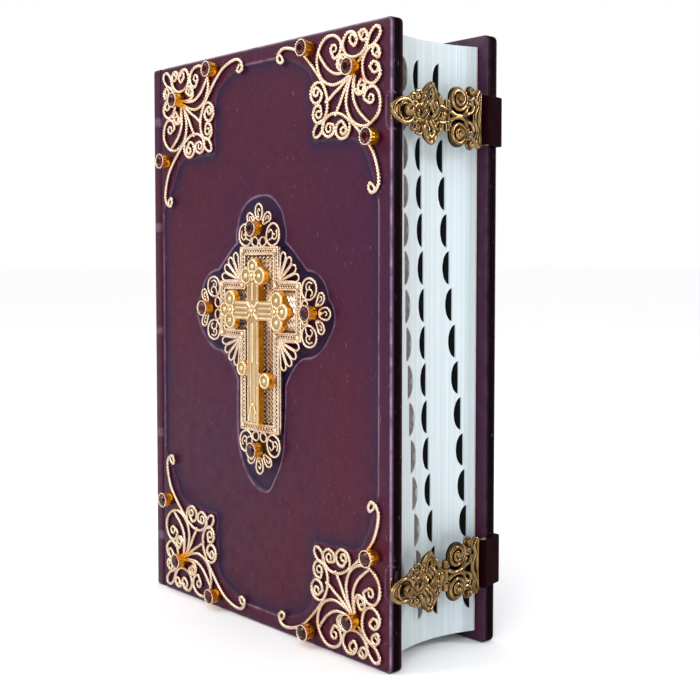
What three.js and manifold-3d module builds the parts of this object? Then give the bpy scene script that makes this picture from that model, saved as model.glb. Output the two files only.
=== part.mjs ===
// A leather-bound prayer book: two boards that swing open on a rounded spine, a thumb-indexed block of
// pages, filigree corners and a filigree cross set with garnets on the front cover, and two cast clasps on
// leather straps.
// Millimetres, +Z up. The book stands closed on its tail, its front cover towards -Y, its spine towards -X.
// The pieces are laid out in the book's own frame, whose X starts at the front joint and whose Y is zero in
// the middle of the pages. The group that holds them moves the origin under the middle of the whole.
import * as THREE from "three";
import { mergeVertices } from "three/addons/utils/BufferGeometryUtils.js";
import Module from "manifold-3d";

const wasm = await Module();
wasm.setup();

// ---- driving dimensions -------------------------------------------------------------------------
const GAP = 0.3; // between pieces that touch
const HEIGHT = 250;
const BOARD_LEFT = 1.2; // edge beside the joint
const BOARD_RIGHT = 160.3; // edge at the fore-edge
const HALF_THICKNESS = 30.2; // middle of the pages to the outside of a board
const BOARD_THICKNESS = 6.4;
const ARRIS = 1.5; // rounding of a board's edges
const BOARD_CORNER = 2.4;
const FACE_LEATHER = 2.4; // leather with the card shapes pasted under it
const EDGE_LEATHER = 1.2;
const TURN_IN = 14; // leather folded over onto the inside of a board
const TURN_IN_LEATHER = 0.8;
const SQUARE = 4.6; // how far the boards stand proud of the pages at head and tail
const FORE_SQUARE = 5.3; // and at the fore-edge
const PASTEDOWN = 0.5;
const LEAF = 0.3;
const FIELD_DEPTH = 0.7; // tooled field inside the border of each cover
const FIELD_MARGIN = 7.3;
const FIELD_MARGIN_JOINT = 2.6;
const PANEL_DEPTH = 1; // cross-shaped panel, below the field
const PANEL_HUG = 4; // how much closer the panel's right side keeps to the cross

const SPINE_BULGE = 11.4;
const PAGES_BACK_BULGE = 6.5;
const PAGES_FORE_HOLLOW = 4.5;
const LINING = 0.9;
const BAND_COUNT = 5;
const BAND_RISE = 1.4;
const BAND_WIDTH = 6;
const HEADBAND_HEIGHT = 2.2;
const HEADBAND_WIDTH = 2.6;

const NOTCH_ROWS = 15;
const NOTCH_TOP = 230.5;
const NOTCH_PITCH = 14.96;
const NOTCH_RADIUS = 6.3;
const NOTCH_DEPTH = 3.8;
const NOTCH_WIDTH = 3.6; // pages that a scoop goes through
// Each column runs down the fore-edge along a smooth line through these Y, from its top row to its bottom
// row. Its scoops stop at a page on one side, and `toward` is the side that they are cut from.
const NOTCH_COLUMNS = [
  { toward: 1, line: [-17.2, -15.7, -11.6, -5.7] },
  { toward: -1, line: [-6.4, -3.2, -0.2, 5.7] },
  { toward: -1, line: [5.4, 10.6, 17.3, 21.3] },
];

const WIRE = 1.2;
const CORNER_INSET_X = 4.7; // filigree corner to the board's edge
const CORNER_INSET_Z = 3;
// One half of the edge of the raised pad under a filigree corner, from the cover's border to the diagonal:
// (a, b), where a is inwards from the filigree's upright edge and b inwards from its level one.
const PAD_EDGE = [
  [2.4, 70], [3.2, 63.5], [5.8, 56.5], [8.6, 49.5], [12.6, 43.6], [18, 41.2], [24, 41.6], [31, 40.6],
  [40, 40.8],
];
const BEZEL_RADIUS = 3.5;
const BEZEL_HEIGHT = 4.5;
const BEZEL_FLOOR = 1.4;
const STONE_RADIUS = 2.6;
const STONE_TABLE = 1.5; // radius of its flat top
const STONE_CROWN = 0.4; // girdle below the bezel's rim, and table above it

const CROSS_Z = 137.4; // middle of the arms
const PLATE_TOP = 2.2; // filigree cross above the cover's face
const PLATE_HALF_BAR = 13.5;
const PLATE_HALF_ARM = 28.5;
const PLATE_LOW = 85;
const PLATE_HIGH = 164.7;
const PLATE_ARM_HALF_HEIGHT = 12.4;
const CAST_CROSS_THICKNESS = 3.4;

const CLASP_LEVELS = { lower: 35, upper: 215 };
const CLASP_STANDOFF = 0.4; // clasp to the boards' edges
const CLASP_PLATE = 1.8;
const STRAP_HALF_HEIGHT = 9.9;
const STRAP_LOOP = STRAP_HALF_HEIGHT - 1.6; // half the length of the leather loop round the pin
const STRAP_THICKNESS = 1.2;
const STRAP_ON_BACK = 24; // strap glued over the back cover
const STRAP_PIN_Y = 20.4;
const STRAP_KNUCKLE_RADIUS = 1.7;
const HOOK_PIN_Y = -2;
const HOOK_KNUCKLE_RADIUS = 1.3;
const HOOK_TIP_Y = -30.4;
const PIN_RADIUS = 0.7;
const PIN_CLEARANCE = 0.25;
const CATCH_CHAMFER = 3; // cut from the front board's arris at each clasp's tip
const CATCH_HALF_HEIGHT = 6.5;
const CATCH_PIN_INSET = 0.78;
const CATCH_PIN_RADIUS = 0.6;

// ---- worked out from them -----------------------------------------------------------------------
const MIDDLE_X = (BOARD_LEFT + BOARD_RIGHT) / 2;
const COVER_FACE = -HALF_THICKNESS; // Y of the front cover's face
const BOARD_INSIDE = HALF_THICKNESS - BOARD_THICKNESS;
const LEAF_FACE = BOARD_INSIDE - GAP;
const PAGES_HALF = LEAF_FACE - LEAF - GAP;
const PAGES_RIGHT = BOARD_RIGHT - FORE_SQUARE;
const PANEL_FLOOR = COVER_FACE + FIELD_DEPTH + PANEL_DEPTH;
const WIRE_TOP = COVER_FACE - GAP - WIRE;
const PLATE_FACE = COVER_FACE - PLATE_TOP;
const CLASP_BACK = BOARD_RIGHT + CLASP_STANDOFF;
const CLASP_FACE = CLASP_BACK + CLASP_PLATE;
const STRAP_PIN_X = BOARD_RIGHT + GAP + STRAP_KNUCKLE_RADIUS;
const HOOK_PIN_X = CLASP_BACK + HOOK_KNUCKLE_RADIUS;
const SPINE_APEX = -SPINE_BULGE - BAND_RISE;
const CLASP_RELIEF = 2.6; // volutes and ball above the plate's face

const material = (color, roughness, metalness = 0) =>
  new THREE.MeshStandardMaterial({ color, roughness, metalness });
const BURGUNDY = material(0x582e42, 0.5);
const STRAP_LEATHER = material(0x2a121c, 0.6);
const BOARD_CARD = material(0x9a8263, 0.9);
const PAPER = material(0xe6e8ea, 0.85);
const ENDPAPER = material(0xe9dfc8, 0.9);
const LINEN = material(0xcfc6b4, 0.9);
const SILK = material(0x9c2f3c, 0.6);
const FILIGREE = material(0xf6dcc2, 0.35, 1);
const GOLD = material(0xe6a03a, 0.3, 1);
const BRONZE = material(0x96703c, 0.4, 1);
const GARNET = material(0x5a0612, 0.08);

// ---- solids -------------------------------------------------------------------------------------
function toSolid(geometry) {
  const bare = geometry.clone();
  bare.deleteAttribute("normal");
  bare.deleteAttribute("uv");
  const merged = mergeVertices(bare, 1e-3);
  return new wasm.Manifold(
    new wasm.Mesh({
      numProp: 3,
      vertProperties: merged.attributes.position.array,
      triVerts: new Uint32Array(merged.index.array),
    }),
  );
}

function toGeometry(solid) {
  const { vertProperties, triVerts } = solid.getMesh();
  const geometry = new THREE.BufferGeometry();
  geometry.setAttribute("position", new THREE.BufferAttribute(vertProperties, 3));
  geometry.setIndex(new THREE.BufferAttribute(triVerts, 1));
  return geometry;
}

const joined = (solids) => solids.reduce((sum, solid) => sum.add(solid));
const cut = (solid, cutters) => cutters.reduce((left, cutter) => left.subtract(cutter), solid);
const mirrored = (points) => points.map(([a, b]) => [b, a]);

function box(low, high) {
  const size = high.map((value, i) => value - low[i]);
  const middle = low.map((value, i) => value + size[i] / 2);
  return toSolid(new THREE.BoxGeometry(...size).translate(...middle));
}

function extrusion(shape, depth, bevel, curveSegments) {
  return new THREE.ExtrudeGeometry(shape, {
    depth: depth - 2 * bevel,
    bevelEnabled: bevel > 0,
    bevelThickness: bevel,
    bevelSize: bevel,
    bevelOffset: -bevel,
    bevelSegments: 2,
    curveSegments,
  }).translate(0, 0, bevel);
}

// An outline in X and Z with thickness along Y, an outline in X and Y with height along Z, and an outline
// in Y and Z with thickness along X.
function slab(shape, y0, y1, bevel = 0, curveSegments = 6) {
  const geometry = extrusion(shape, y1 - y0, bevel, curveSegments);
  return toSolid(geometry.rotateX(Math.PI / 2).translate(0, y1, 0));
}

function column(shape, z0, z1, curveSegments = 6) {
  return toSolid(extrusion(shape, z1 - z0, 0, curveSegments).translate(0, 0, z0));
}

function sidePlate(shape, x0, x1, bevel = 0, curveSegments = 4) {
  const turn = new THREE.Matrix4().makeBasis(
    new THREE.Vector3(0, 1, 0),
    new THREE.Vector3(0, 0, 1),
    new THREE.Vector3(1, 0, 0),
  );
  const geometry = extrusion(shape, x1 - x0, bevel, curveSegments).applyMatrix4(turn);
  return toSolid(geometry.translate(x0, 0, 0));
}

function rod(x, y, radius, z0, z1, segments = 10) {
  const geometry = new THREE.CylinderGeometry(radius, radius, z1 - z0, segments);
  return toSolid(geometry.rotateX(Math.PI / 2).translate(x, y, (z0 + z1) / 2));
}

function circle(x, y, radius) {
  return new THREE.Shape().absarc(x, y, radius, 0, 2 * Math.PI);
}

function outline(points) {
  return new THREE.Shape(points.map(([x, y]) => new THREE.Vector2(x, y)));
}

function roundedRectangle(x0, y0, x1, y1, r) {
  const shape = new THREE.Shape();
  shape.absarc(x1 - r, y0 + r, r, -Math.PI / 2, 0);
  shape.absarc(x1 - r, y1 - r, r, 0, Math.PI / 2);
  shape.absarc(x0 + r, y1 - r, r, Math.PI / 2, Math.PI);
  shape.absarc(x0 + r, y0 + r, r, Math.PI, 1.5 * Math.PI);
  return shape;
}

// A wire of square section along a smooth line through [x, z] points, between y and y + WIRE.
function wire(points, y, steps = points.length - 1) {
  const half = WIRE / 2;
  const path = new THREE.CatmullRomCurve3(points.map(([x, z]) => new THREE.Vector3(x, y + half, z)));
  const section = outline([[half, half], [-half, half], [-half, -half], [half, -half]]);
  return toSolid(new THREE.ExtrudeGeometry(section, { steps, extrudePath: path, bevelEnabled: false }));
}

// A scroll of wire that winds inwards from `from` degrees through `sweep` degrees around (x, z).
function scroll(x, z, radius, inner, from, sweep, count = 12) {
  return Array.from({ length: count }, (_, i) => {
    const share = i / (count - 1);
    const angle = THREE.MathUtils.degToRad(from + sweep * share);
    const r = radius + (inner - radius) * share;
    return [x + r * Math.cos(angle), z + r * Math.sin(angle)];
  });
}

// A flat petal that leaves `root` along `angle` degrees, with its wires' depth.
function petal(root, angle, length, width, y) {
  const turn = THREE.MathUtils.degToRad(angle);
  const curve = [[0, 0.1], [0.45, 0.34], [0.8, 0.5], [0.96, 0.3]];
  const side = curve.map(([along, out]) => [along * length, out * width]);
  const points = [...side.map(([run, across]) => [run, -across]), [length, 0], ...[...side].reverse()];
  const turned = points.map(([run, across]) => [
    root[0] + run * Math.cos(turn) - across * Math.sin(turn),
    root[1] + run * Math.sin(turn) + across * Math.cos(turn),
  ]);
  return slab(outline(turned), y, y + WIRE);
}

// ---- the assembly -------------------------------------------------------------------------------
const book = new THREE.Group();

function place(name, geometry, look) {
  const mesh = new THREE.Mesh(geometry, look);
  mesh.name = name;
  book.add(mesh);
  return mesh;
}

const placeSolid = (name, solid, look) => place(name, toGeometry(solid), look);

// ---- covers -------------------------------------------------------------------------------------
// Both are worked out as the front cover, and the back one is turned over in Y. The tooled field goes round
// the pads.
function coverSkin(pads = []) {
  const whole = slab(
    roundedRectangle(BOARD_LEFT, 0, BOARD_RIGHT, HEIGHT, BOARD_CORNER),
    COVER_FACE,
    -BOARD_INSIDE,
    ARRIS,
    3,
  );
  const pocket = box(
    [BOARD_LEFT + EDGE_LEATHER, COVER_FACE + FACE_LEATHER, EDGE_LEATHER],
    [BOARD_RIGHT - EDGE_LEATHER, -BOARD_INSIDE - TURN_IN_LEATHER, HEIGHT - EDGE_LEATHER],
  );
  const window = box(
    [BOARD_LEFT + TURN_IN, -BOARD_INSIDE - 2 * TURN_IN_LEATHER, TURN_IN],
    [BOARD_RIGHT - TURN_IN, -BOARD_INSIDE + 1, HEIGHT - TURN_IN],
  );
  const field = box(
    [BOARD_LEFT + FIELD_MARGIN_JOINT, COVER_FACE - 1, FIELD_MARGIN],
    [BOARD_RIGHT - FIELD_MARGIN, COVER_FACE + FIELD_DEPTH, HEIGHT - FIELD_MARGIN],
  );
  return cut(whole, [pocket, window, cut(field, pads)]);
}

function cover(name, side, skin) {
  const clear = EDGE_LEATHER + GAP;
  const core = box(
    [BOARD_LEFT + clear, COVER_FACE + FACE_LEATHER + GAP, clear],
    [BOARD_RIGHT - clear, -BOARD_INSIDE - TURN_IN_LEATHER - GAP, HEIGHT - clear],
  );
  const inset = TURN_IN + GAP;
  const sheet = box(
    [BOARD_LEFT + inset, -BOARD_INSIDE - TURN_IN_LEATHER, inset],
    [BOARD_RIGHT - inset, -BOARD_INSIDE - TURN_IN_LEATHER + PASTEDOWN, HEIGHT - inset],
  );
  placeSolid(`${name}_leather`, skin, BURGUNDY).scale.y = -side;
  placeSolid(`${name}_board`, core, BOARD_CARD).scale.y = -side;
  placeSolid(`${name}_pastedown`, sheet, ENDPAPER).scale.y = -side;
}

// The outline of the sunken panel around the cross: a lobe over each arm, and cusps between the lobes.
function panelShape() {
  const half = [
    [[11, 186], [17, 180], [17.4, 174]],
    [[19.2, 171], [18.6, 168], [18, 166]],
    [[22, 164], [28, 158], [32.7, 154]],
    [[40, 154], [45, 149], [45.6, 143]],
    [[50.6, 139], [50.6, 133], [46.5, 128.5]],
    [[44, 124], [38, 119], [32.7, 119]],
    [[27, 119], [21, 112], [18.2, 106]],
    [[18.6, 98], [18.6, 90], [18.2, 80]],
    [[17, 70], [10, 59.7], [0, 59.3]],
  ];
  const at = (side, [x, z]) => [MIDDLE_X + side * x - (side > 0 ? PANEL_HUG * Math.min(1, x / 14) : 0), z];
  const shape = new THREE.Shape();
  shape.moveTo(MIDDLE_X, 186);
  half.forEach((curve) => shape.bezierCurveTo(...curve.flatMap((point) => at(1, point))));
  const ends = [[0, 186], ...half.map((curve) => curve[2])];
  for (let i = half.length - 1; i >= 0; i--) {
    const [first, second] = half[i];
    shape.bezierCurveTo(...[second, first, ends[i]].flatMap((point) => at(-1, point)));
  }
  return shape;
}

// The corners that filigree is laid on: across is 1 for a left one, and up is 1 for a lower one.
const CORNERS = [["lower", 1], ["upper", -1]].flatMap(([level, up]) =>
  [["left", 1], ["right", -1]].map(([hand, across]) => ({
    name: `${level}_${hand}_corner`,
    across,
    up,
    x: MIDDLE_X - across * (BOARD_RIGHT - MIDDLE_X - CORNER_INSET_X),
    z: HEIGHT / 2 - up * (HEIGHT / 2 - CORNER_INSET_Z),
  })),
);

// A left pad's edge runs out to the border beside the joint, which is narrower.
function cornerPad({ across, up, x, z }) {
  const beyond = 15;
  const out = across > 0 ? FIELD_MARGIN - FIELD_MARGIN_JOINT : 0;
  const ends = [...PAD_EDGE, ...mirrored(PAD_EDGE).reverse()];
  const edge = new THREE.SplineCurve(ends.map(([a, b]) => new THREE.Vector2(a, b))).getPoints(26);
  const outside = [[70, -beyond], [-beyond, -beyond], [-beyond, 70]];
  const points = [...edge.map((point) => [point.x, point.y]), ...outside];
  const eased = ([a, b]) => a - out * THREE.MathUtils.smoothstep(b, 48, 68);
  const shape = outline(points.map((point) => [x + across * eased(point), z + up * point[1]]));
  return slab(shape, COVER_FACE - 2, COVER_FACE + 2);
}

// The front board's arris is cut away at each clasp's tip, and a pin bridges the cut for the clasp to catch
// on.
function catchCut(z) {
  const reach = CATCH_CHAMFER * Math.SQRT2;
  const prism = new THREE.BoxGeometry(reach, reach, 2 * CATCH_HALF_HEIGHT).rotateZ(Math.PI / 4);
  return toSolid(prism.translate(BOARD_RIGHT, COVER_FACE, z));
}

function frontCover() {
  const panel = slab(panelShape(), COVER_FACE - 1, PANEL_FLOOR, 0, 4);
  const levels = Object.entries(CLASP_LEVELS);
  const skin = coverSkin(CORNERS.map(cornerPad));
  cover("front_cover", -1, cut(skin, [panel, ...levels.map(([, z]) => catchCut(z))]));
  const half = CATCH_HALF_HEIGHT - GAP;
  for (const [level, z] of levels) {
    const [x, y] = [BOARD_RIGHT - CATCH_PIN_INSET, COVER_FACE + CATCH_PIN_INSET];
    const pin = rod(x, y, CATCH_PIN_RADIUS, z - half, z + half, 8);
    placeSolid(`${level}_catch_pin`, pin, BRONZE);
  }
}

// ---- stones in their bezels ---------------------------------------------------------------------
function lathe(points, segments) {
  const geometry = new THREE.LatheGeometry(points.map(([r, h]) => new THREE.Vector2(r, h)), segments);
  return toGeometry(toSolid(geometry.rotateX(Math.PI)));
}

const BEZEL = lathe(
  [
    [0, 0],
    [BEZEL_RADIUS, 0],
    [BEZEL_RADIUS - 0.3, BEZEL_HEIGHT],
    [STONE_RADIUS + GAP, BEZEL_HEIGHT],
    [STONE_RADIUS + GAP, BEZEL_FLOOR],
    [0, BEZEL_FLOOR],
  ],
  10,
);
const STONE = lathe(
  [
    [0, BEZEL_FLOOR + GAP],
    [STONE_RADIUS, BEZEL_FLOOR + GAP],
    [STONE_RADIUS, BEZEL_HEIGHT - STONE_CROWN],
    [STONE_TABLE, BEZEL_HEIGHT + STONE_CROWN],
    [0, BEZEL_HEIGHT + STONE_CROWN],
  ],
  8,
);

function setStone(name, x, z, base) {
  place(`${name}_bezel`, BEZEL, GOLD).position.set(x, base, z);
  place(`${name}_garnet`, STONE, GARNET).position.set(x, base, z);
}

// ---- filigree corners ---------------------------------------------------------------------------
// Points are (a, b): a inwards from the upright edge and b inwards from the level one. The pattern is the
// same on both sides of its diagonal, so each wire is drawn once and once more with a and b exchanged.
const CORNER_WIRES = [
  // the long stem, from its curled tail to the scroll at the inner corner
  [[4.4, 59.6], [5.9, 58.8], [6.6, 60.6], [5.2, 62.4], [3, 62], [1.2, 59.5], [1.3, 55], [3.9, 47.7],
    [6.9, 43.7], [11.4, 39.2], [17.9, 33.7], [24.4, 30.7], [29.8, 31.2], [33.2, 34], [33.4, 37.2],
    [30.4, 39.4], [27.2, 38.2], [26.8, 35.2], [29, 34.4]],
  // the scroll that rises from it
  [[17.9, 33.7], [17.4, 37], [19.4, 40.2], [22.8, 40.7], [25.4, 38.4], [24.8, 35.2], [22, 34],
    [20, 36]],
  [[16, 16.5], [20.5, 22.5], [23.4, 27.5], [25.9, 31]],
  // the pair of stems that end in the large scroll
  [[16, 16.5], [18.6, 22.2], [19.4, 27.2], [17.4, 32.7], [13.4, 35.9], [8, 37], [3.4, 35], [0.4, 31],
    [0.6, 26], [3.6, 22.6], [7.6, 23.2], [9.2, 26.4], [6.8, 28.2]],
  [[15, 17], [15.3, 25.2], [12.9, 30.2], [8.4, 34.4], [5.4, 36.4]],
  // the small spiral between the stem and the corner
  [[14.2, 16.4], [14.8, 21.4], [12.6, 24.6], [9.4, 23.8], [8.6, 20.6], [10.8, 19.2], [12.2, 21]],
  // the C-shaped scroll that backs on to the garnet in the middle
  [[4.6, 16.6], [5.8, 14.8], [3.6, 13.3], [0.9, 15], [0.5, 18.7], [4.2, 21.4], [8.4, 19.6],
    [10.1, 15.2], [9.4, 11], [6.4, 7.9], [2.8, 7.3], [0.6, 9.4], [1.4, 11.9], [3.4, 11]],
];
const CORNER_DIAGONALS = [ // one side of each figure that lies on the diagonal
  [[8, 8], [6.2, 7.4], [3, 6.2], [0.3, 3], [0.5, 0.5]],
  [[32.6, 32.6], [33.6, 36.4], [36.6, 39], [39, 39]],
  [[7, 7], [16, 16]],
];
const CORNER_STONES = [[14.2, 14.2], [3.4, 41.6], [41.6, 3.4]];

function cornerFiligree() {
  const y = WIRE_TOP;
  const wires = [...CORNER_WIRES, ...CORNER_DIAGONALS];
  const both = [...wires, ...wires.map(mirrored)].map((points) => wire(points, y));
  const seats = CORNER_STONES.map(([a, b]) => slab(circle(a, b, BEZEL_RADIUS + 0.2), y, y + WIRE, 0, 4));
  return toGeometry(joined([...both, ...seats]));
}

function corners() {
  const filigree = cornerFiligree();
  for (const { name, across, up, x, z } of CORNERS) {
    const mesh = place(`${name}_filigree`, filigree, FILIGREE);
    mesh.position.set(x, 0, z);
    mesh.scale.set(across, 1, up);
    CORNER_STONES.forEach(([a, b], i) => {
      setStone(`${name}_${i + 1}`, x + across * a, z + up * b, WIRE_TOP - GAP);
    });
  }
}

// ---- the cross ----------------------------------------------------------------------------------
// An openwork plate with a finial of scrolls and petals on each arm and a fan of petals in each inner
// corner. A finial points along `turn` degrees from the middle of the arm's end.
function finial([x, z], turn) {
  const y = PLATE_FACE;
  const aim = THREE.MathUtils.degToRad(turn);
  const put = ([along, across]) => [
    x + along * Math.cos(aim) - across * Math.sin(aim),
    z + along * Math.sin(aim) + across * Math.cos(aim),
  ];
  const wires = [1, -1].flatMap((side) => [
    wire(scroll(5.2, side * 8.4, 4.2, 1.4, side * -60, side * 330, 10).map(put), y, 10),
    wire([[-0.6, side * 4], [3, side * 3.4], [7, side * 4.4], [10, side * 3], [11.4, 0]].map(put), y, 5),
  ]);
  const petals = [0, 48, -48].map((angle) => petal(put([9, 0]), turn + angle, 7.4, 4.6, y));
  const seat = slab(circle(...put([7.6, 0]), 2.6), y, y + WIRE, 0, 4);
  return joined([...wires, ...petals, seat]);
}

function crossFiligree() {
  const [left, right] = [MIDDLE_X - PLATE_HALF_BAR, MIDDLE_X + PLATE_HALF_BAR];
  const [far, near] = [MIDDLE_X - PLATE_HALF_ARM, MIDDLE_X + PLATE_HALF_ARM];
  const [low, high] = [CROSS_Z - PLATE_ARM_HALF_HEIGHT, CROSS_Z + PLATE_ARM_HALF_HEIGHT];
  const plate = outline([
    [left, PLATE_LOW], [right, PLATE_LOW], [right, low], [near, low], [near, high], [right, high],
    [right, PLATE_HIGH], [left, PLATE_HIGH], [left, high], [far, high], [far, low], [left, low],
  ]);
  const finials = [
    finial([MIDDLE_X, PLATE_HIGH], 90),
    finial([MIDDLE_X, PLATE_LOW], -90),
    finial([far, CROSS_Z], 180),
    finial([near, CROSS_Z], 0),
  ];
  const fans = [1, -1].flatMap((across) =>
    [1, -1].flatMap((up) => {
      const root = [MIDDLE_X + across * (PLATE_HALF_BAR - 0.5), up > 0 ? high - 0.5 : low + 0.5];
      return [0, 1, 2, 3].map((i) => {
        const angle = 14 + 21 * i;
        return petal(root, across > 0 ? up * angle : 180 - up * angle, 13, 3.2, PLATE_FACE);
      });
    }),
  );
  return joined([slab(plate, PLATE_FACE, PANEL_FLOOR - GAP), ...finials, ...fans]);
}

// The cast cross on top has three bars: the top and main ones end in trefoils, and the lowest slants.
function castCross() {
  const back = PLATE_FACE - GAP;
  const part = (shape) => slab(shape, back - CAST_CROSS_THICKNESS, back, 0, 4);
  const trefoil = (x, z, dx, dz) =>
    [[5, 0, 3.6], [1.4, 4.6, 3.9], [1.4, -4.6, 3.9]].map(([along, across, radius]) =>
      part(circle(x + along * dx - across * dz, z + along * dz + across * dx, radius)),
    );
  const rectangle = (x0, z0, x1, z1) => part(outline([[x0, z0], [x1, z0], [x1, z1], [x0, z1]]));
  const low = 110;
  const ends = [[-8.2, 114.2], [-8.2, 110.2], [8.2, 105.8], [8.2, 109.8]];
  const slant = outline(ends.map(([x, z]) => [MIDDLE_X + x, z]));
  return joined([
    rectangle(MIDDLE_X - 4, 88, MIDDLE_X + 4, 154),
    rectangle(MIDDLE_X - 17, CROSS_Z - 4, MIDDLE_X + 17, CROSS_Z + 4),
    ...trefoil(MIDDLE_X, 151, 0, 1),
    ...trefoil(MIDDLE_X + 15, CROSS_Z, 1, 0),
    ...trefoil(MIDDLE_X - 15, CROSS_Z, -1, 0),
    part(slant),
    part(circle(MIDDLE_X - 8, low + 2.2, 3.5)),
    part(circle(MIDDLE_X + 8, low - 2.2, 3.5)),
  ]);
}

function cross() {
  placeSolid("cross_filigree", crossFiligree(), FILIGREE);
  placeSolid("raised_cross", castCross(), GOLD);
  const base = PLATE_FACE - GAP;
  const reach = 7.6;
  setStone("cross_top", MIDDLE_X, PLATE_HIGH + reach, base);
  setStone("cross_bottom", MIDDLE_X, PLATE_LOW - reach, base);
  setStone("cross_left", MIDDLE_X - PLATE_HALF_ARM - reach, CROSS_Z, base);
  setStone("cross_right", MIDDLE_X + PLATE_HALF_ARM + reach, CROSS_Z, base);
}

// ---- spine --------------------------------------------------------------------------------------
// A crescent in X and Y that bulges to `bulge` behind the joint, hollowed for the lined back of the pages.
function crescent(bulge) {
  const reach = HALF_THICKNESS - 0.4;
  const inside = PAGES_HALF + GAP;
  const clear = 2 * GAP + LINING + 0.1;
  const shape = new THREE.Shape();
  shape.moveTo(0.2, -inside);
  shape.lineTo(0.2, -reach + 0.6);
  shape.lineTo(-0.8, -reach);
  shape.lineTo(-4.6, -reach);
  shape.bezierCurveTo(-9, -reach + 2, -bulge, -reach / 2, -bulge, 0);
  shape.bezierCurveTo(-bulge, reach / 2, -9, reach - 2, -4.6, reach);
  shape.lineTo(-0.8, reach);
  shape.lineTo(0.2, reach - 0.6);
  shape.lineTo(0.2, inside);
  shape.lineTo(-clear, inside);
  shape.quadraticCurveTo(-2 * PAGES_BACK_BULGE - clear, 0, -clear, -inside);
  return shape;
}

// A thin curved sheet behind the pages, `from` to `to` away from their back.
function backSheet(from, to) {
  const shape = new THREE.Shape();
  const reach = PAGES_HALF - 0.4;
  shape.moveTo(-from, -reach);
  shape.quadraticCurveTo(-2 * PAGES_BACK_BULGE - from, 0, -from, reach);
  shape.lineTo(-to, reach);
  shape.quadraticCurveTo(-2 * PAGES_BACK_BULGE - to, 0, -to, -reach);
  return shape;
}

function spine() {
  const bands = Array.from({ length: BAND_COUNT }, (_, i) => {
    const z = ((i + 0.5) * HEIGHT) / BAND_COUNT;
    return column(crescent(SPINE_BULGE + BAND_RISE), z - BAND_WIDTH / 2, z + BAND_WIDTH / 2);
  });
  const skin = column(crescent(SPINE_BULGE), 0, HEIGHT);
  placeSolid("spine_leather", joined([skin, ...bands]), BURGUNDY);
  const low = SQUARE;
  const high = HEIGHT - SQUARE;
  placeSolid("spine_lining", column(backSheet(GAP, GAP + LINING), low, high), LINEN);
  const cord = backSheet(-HEADBAND_WIDTH, 0);
  placeSolid("head_band", column(cord, high + GAP, high + GAP + HEADBAND_HEIGHT), SILK);
  placeSolid("tail_band", column(cord, low - GAP - HEADBAND_HEIGHT, low - GAP), SILK);
}

// ---- pages --------------------------------------------------------------------------------------
const foreEdge = (y) => PAGES_RIGHT - PAGES_FORE_HOLLOW * (1 - (y / PAGES_HALF) ** 2);

// A scoop in the fore-edge: half of a squashed ball with its flat side against the page at `y`.
function thumbNotch(z, y, toward) {
  const steps = 3;
  const arc = Array.from({ length: steps + 1 }, (_, i) => (Math.PI / 2) * (i / steps));
  const profile = [[0, 0], ...arc.map((turn) => [Math.cos(turn), Math.sin(turn)])];
  const dome = new THREE.LatheGeometry(profile.map(([r, h]) => new THREE.Vector2(r, h)), 10);
  if (toward < 0) dome.rotateX(Math.PI);
  dome.scale(NOTCH_DEPTH, NOTCH_WIDTH, NOTCH_RADIUS);
  return toSolid(dome.translate(foreEdge(y), y, z));
}

function pages() {
  const section = new THREE.Shape();
  section.moveTo(0, -PAGES_HALF);
  section.lineTo(PAGES_RIGHT, -PAGES_HALF);
  section.quadraticCurveTo(PAGES_RIGHT - 2 * PAGES_FORE_HOLLOW, 0, PAGES_RIGHT, PAGES_HALF);
  section.lineTo(0, PAGES_HALF);
  section.quadraticCurveTo(-2 * PAGES_BACK_BULGE, 0, 0, -PAGES_HALF);
  const notches = NOTCH_COLUMNS.flatMap(({ toward, line }) => {
    const course = new THREE.SplineCurve(line.map((y, i) => new THREE.Vector2(i, y)));
    return Array.from({ length: NOTCH_ROWS }, (_, row) =>
      thumbNotch(NOTCH_TOP - NOTCH_PITCH * row, course.getPoint(row / (NOTCH_ROWS - 1)).y, toward),
    );
  });
  placeSolid("page_block", cut(column(section, SQUARE, HEIGHT - SQUARE), notches), PAPER);
}

function endLeaf(name, side) {
  const left = 3;
  const y = side * (LEAF_FACE - LEAF / 2);
  const sheet = new THREE.BoxGeometry(PAGES_RIGHT - left, LEAF, HEIGHT - 2 * SQUARE);
  place(name, sheet.translate((PAGES_RIGHT + left) / 2, y, HEIGHT / 2), ENDPAPER);
}

// ---- clasps -------------------------------------------------------------------------------------
// Each clasp is worked out around z = 0. Its strap wraps the back board, a plate with two volutes hangs on
// the strap, and an interlaced plate hangs on that and reaches over the fore-edge to the front board's catch.
function strap() {
  const half = STRAP_HALF_HEIGHT;
  const outside = HALF_THICKNESS + GAP;
  const side = BOARD_RIGHT + GAP;
  const strip = outline([
    [side, STRAP_PIN_Y],
    [side + STRAP_THICKNESS, STRAP_PIN_Y],
    [side + STRAP_THICKNESS, outside + 0.4],
    [side + 0.4, outside + STRAP_THICKNESS],
    [side - STRAP_ON_BACK, outside + STRAP_THICKNESS],
    [side - STRAP_ON_BACK, outside],
    [side, outside],
  ]);
  const past = half + 1;
  const ears = STRAP_KNUCKLE_RADIUS + 0.4;
  const round = (radius, z0, z1) => rod(STRAP_PIN_X, STRAP_PIN_Y, radius, z0, z1, 16);
  return cut(column(strip, -half, half).add(round(STRAP_KNUCKLE_RADIUS, -STRAP_LOOP, STRAP_LOOP)), [
    round(PIN_RADIUS + PIN_CLEARANCE, -past, past),
    round(ears, STRAP_LOOP, past),
    round(ears, -past, -STRAP_LOOP),
  ]);
}

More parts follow.
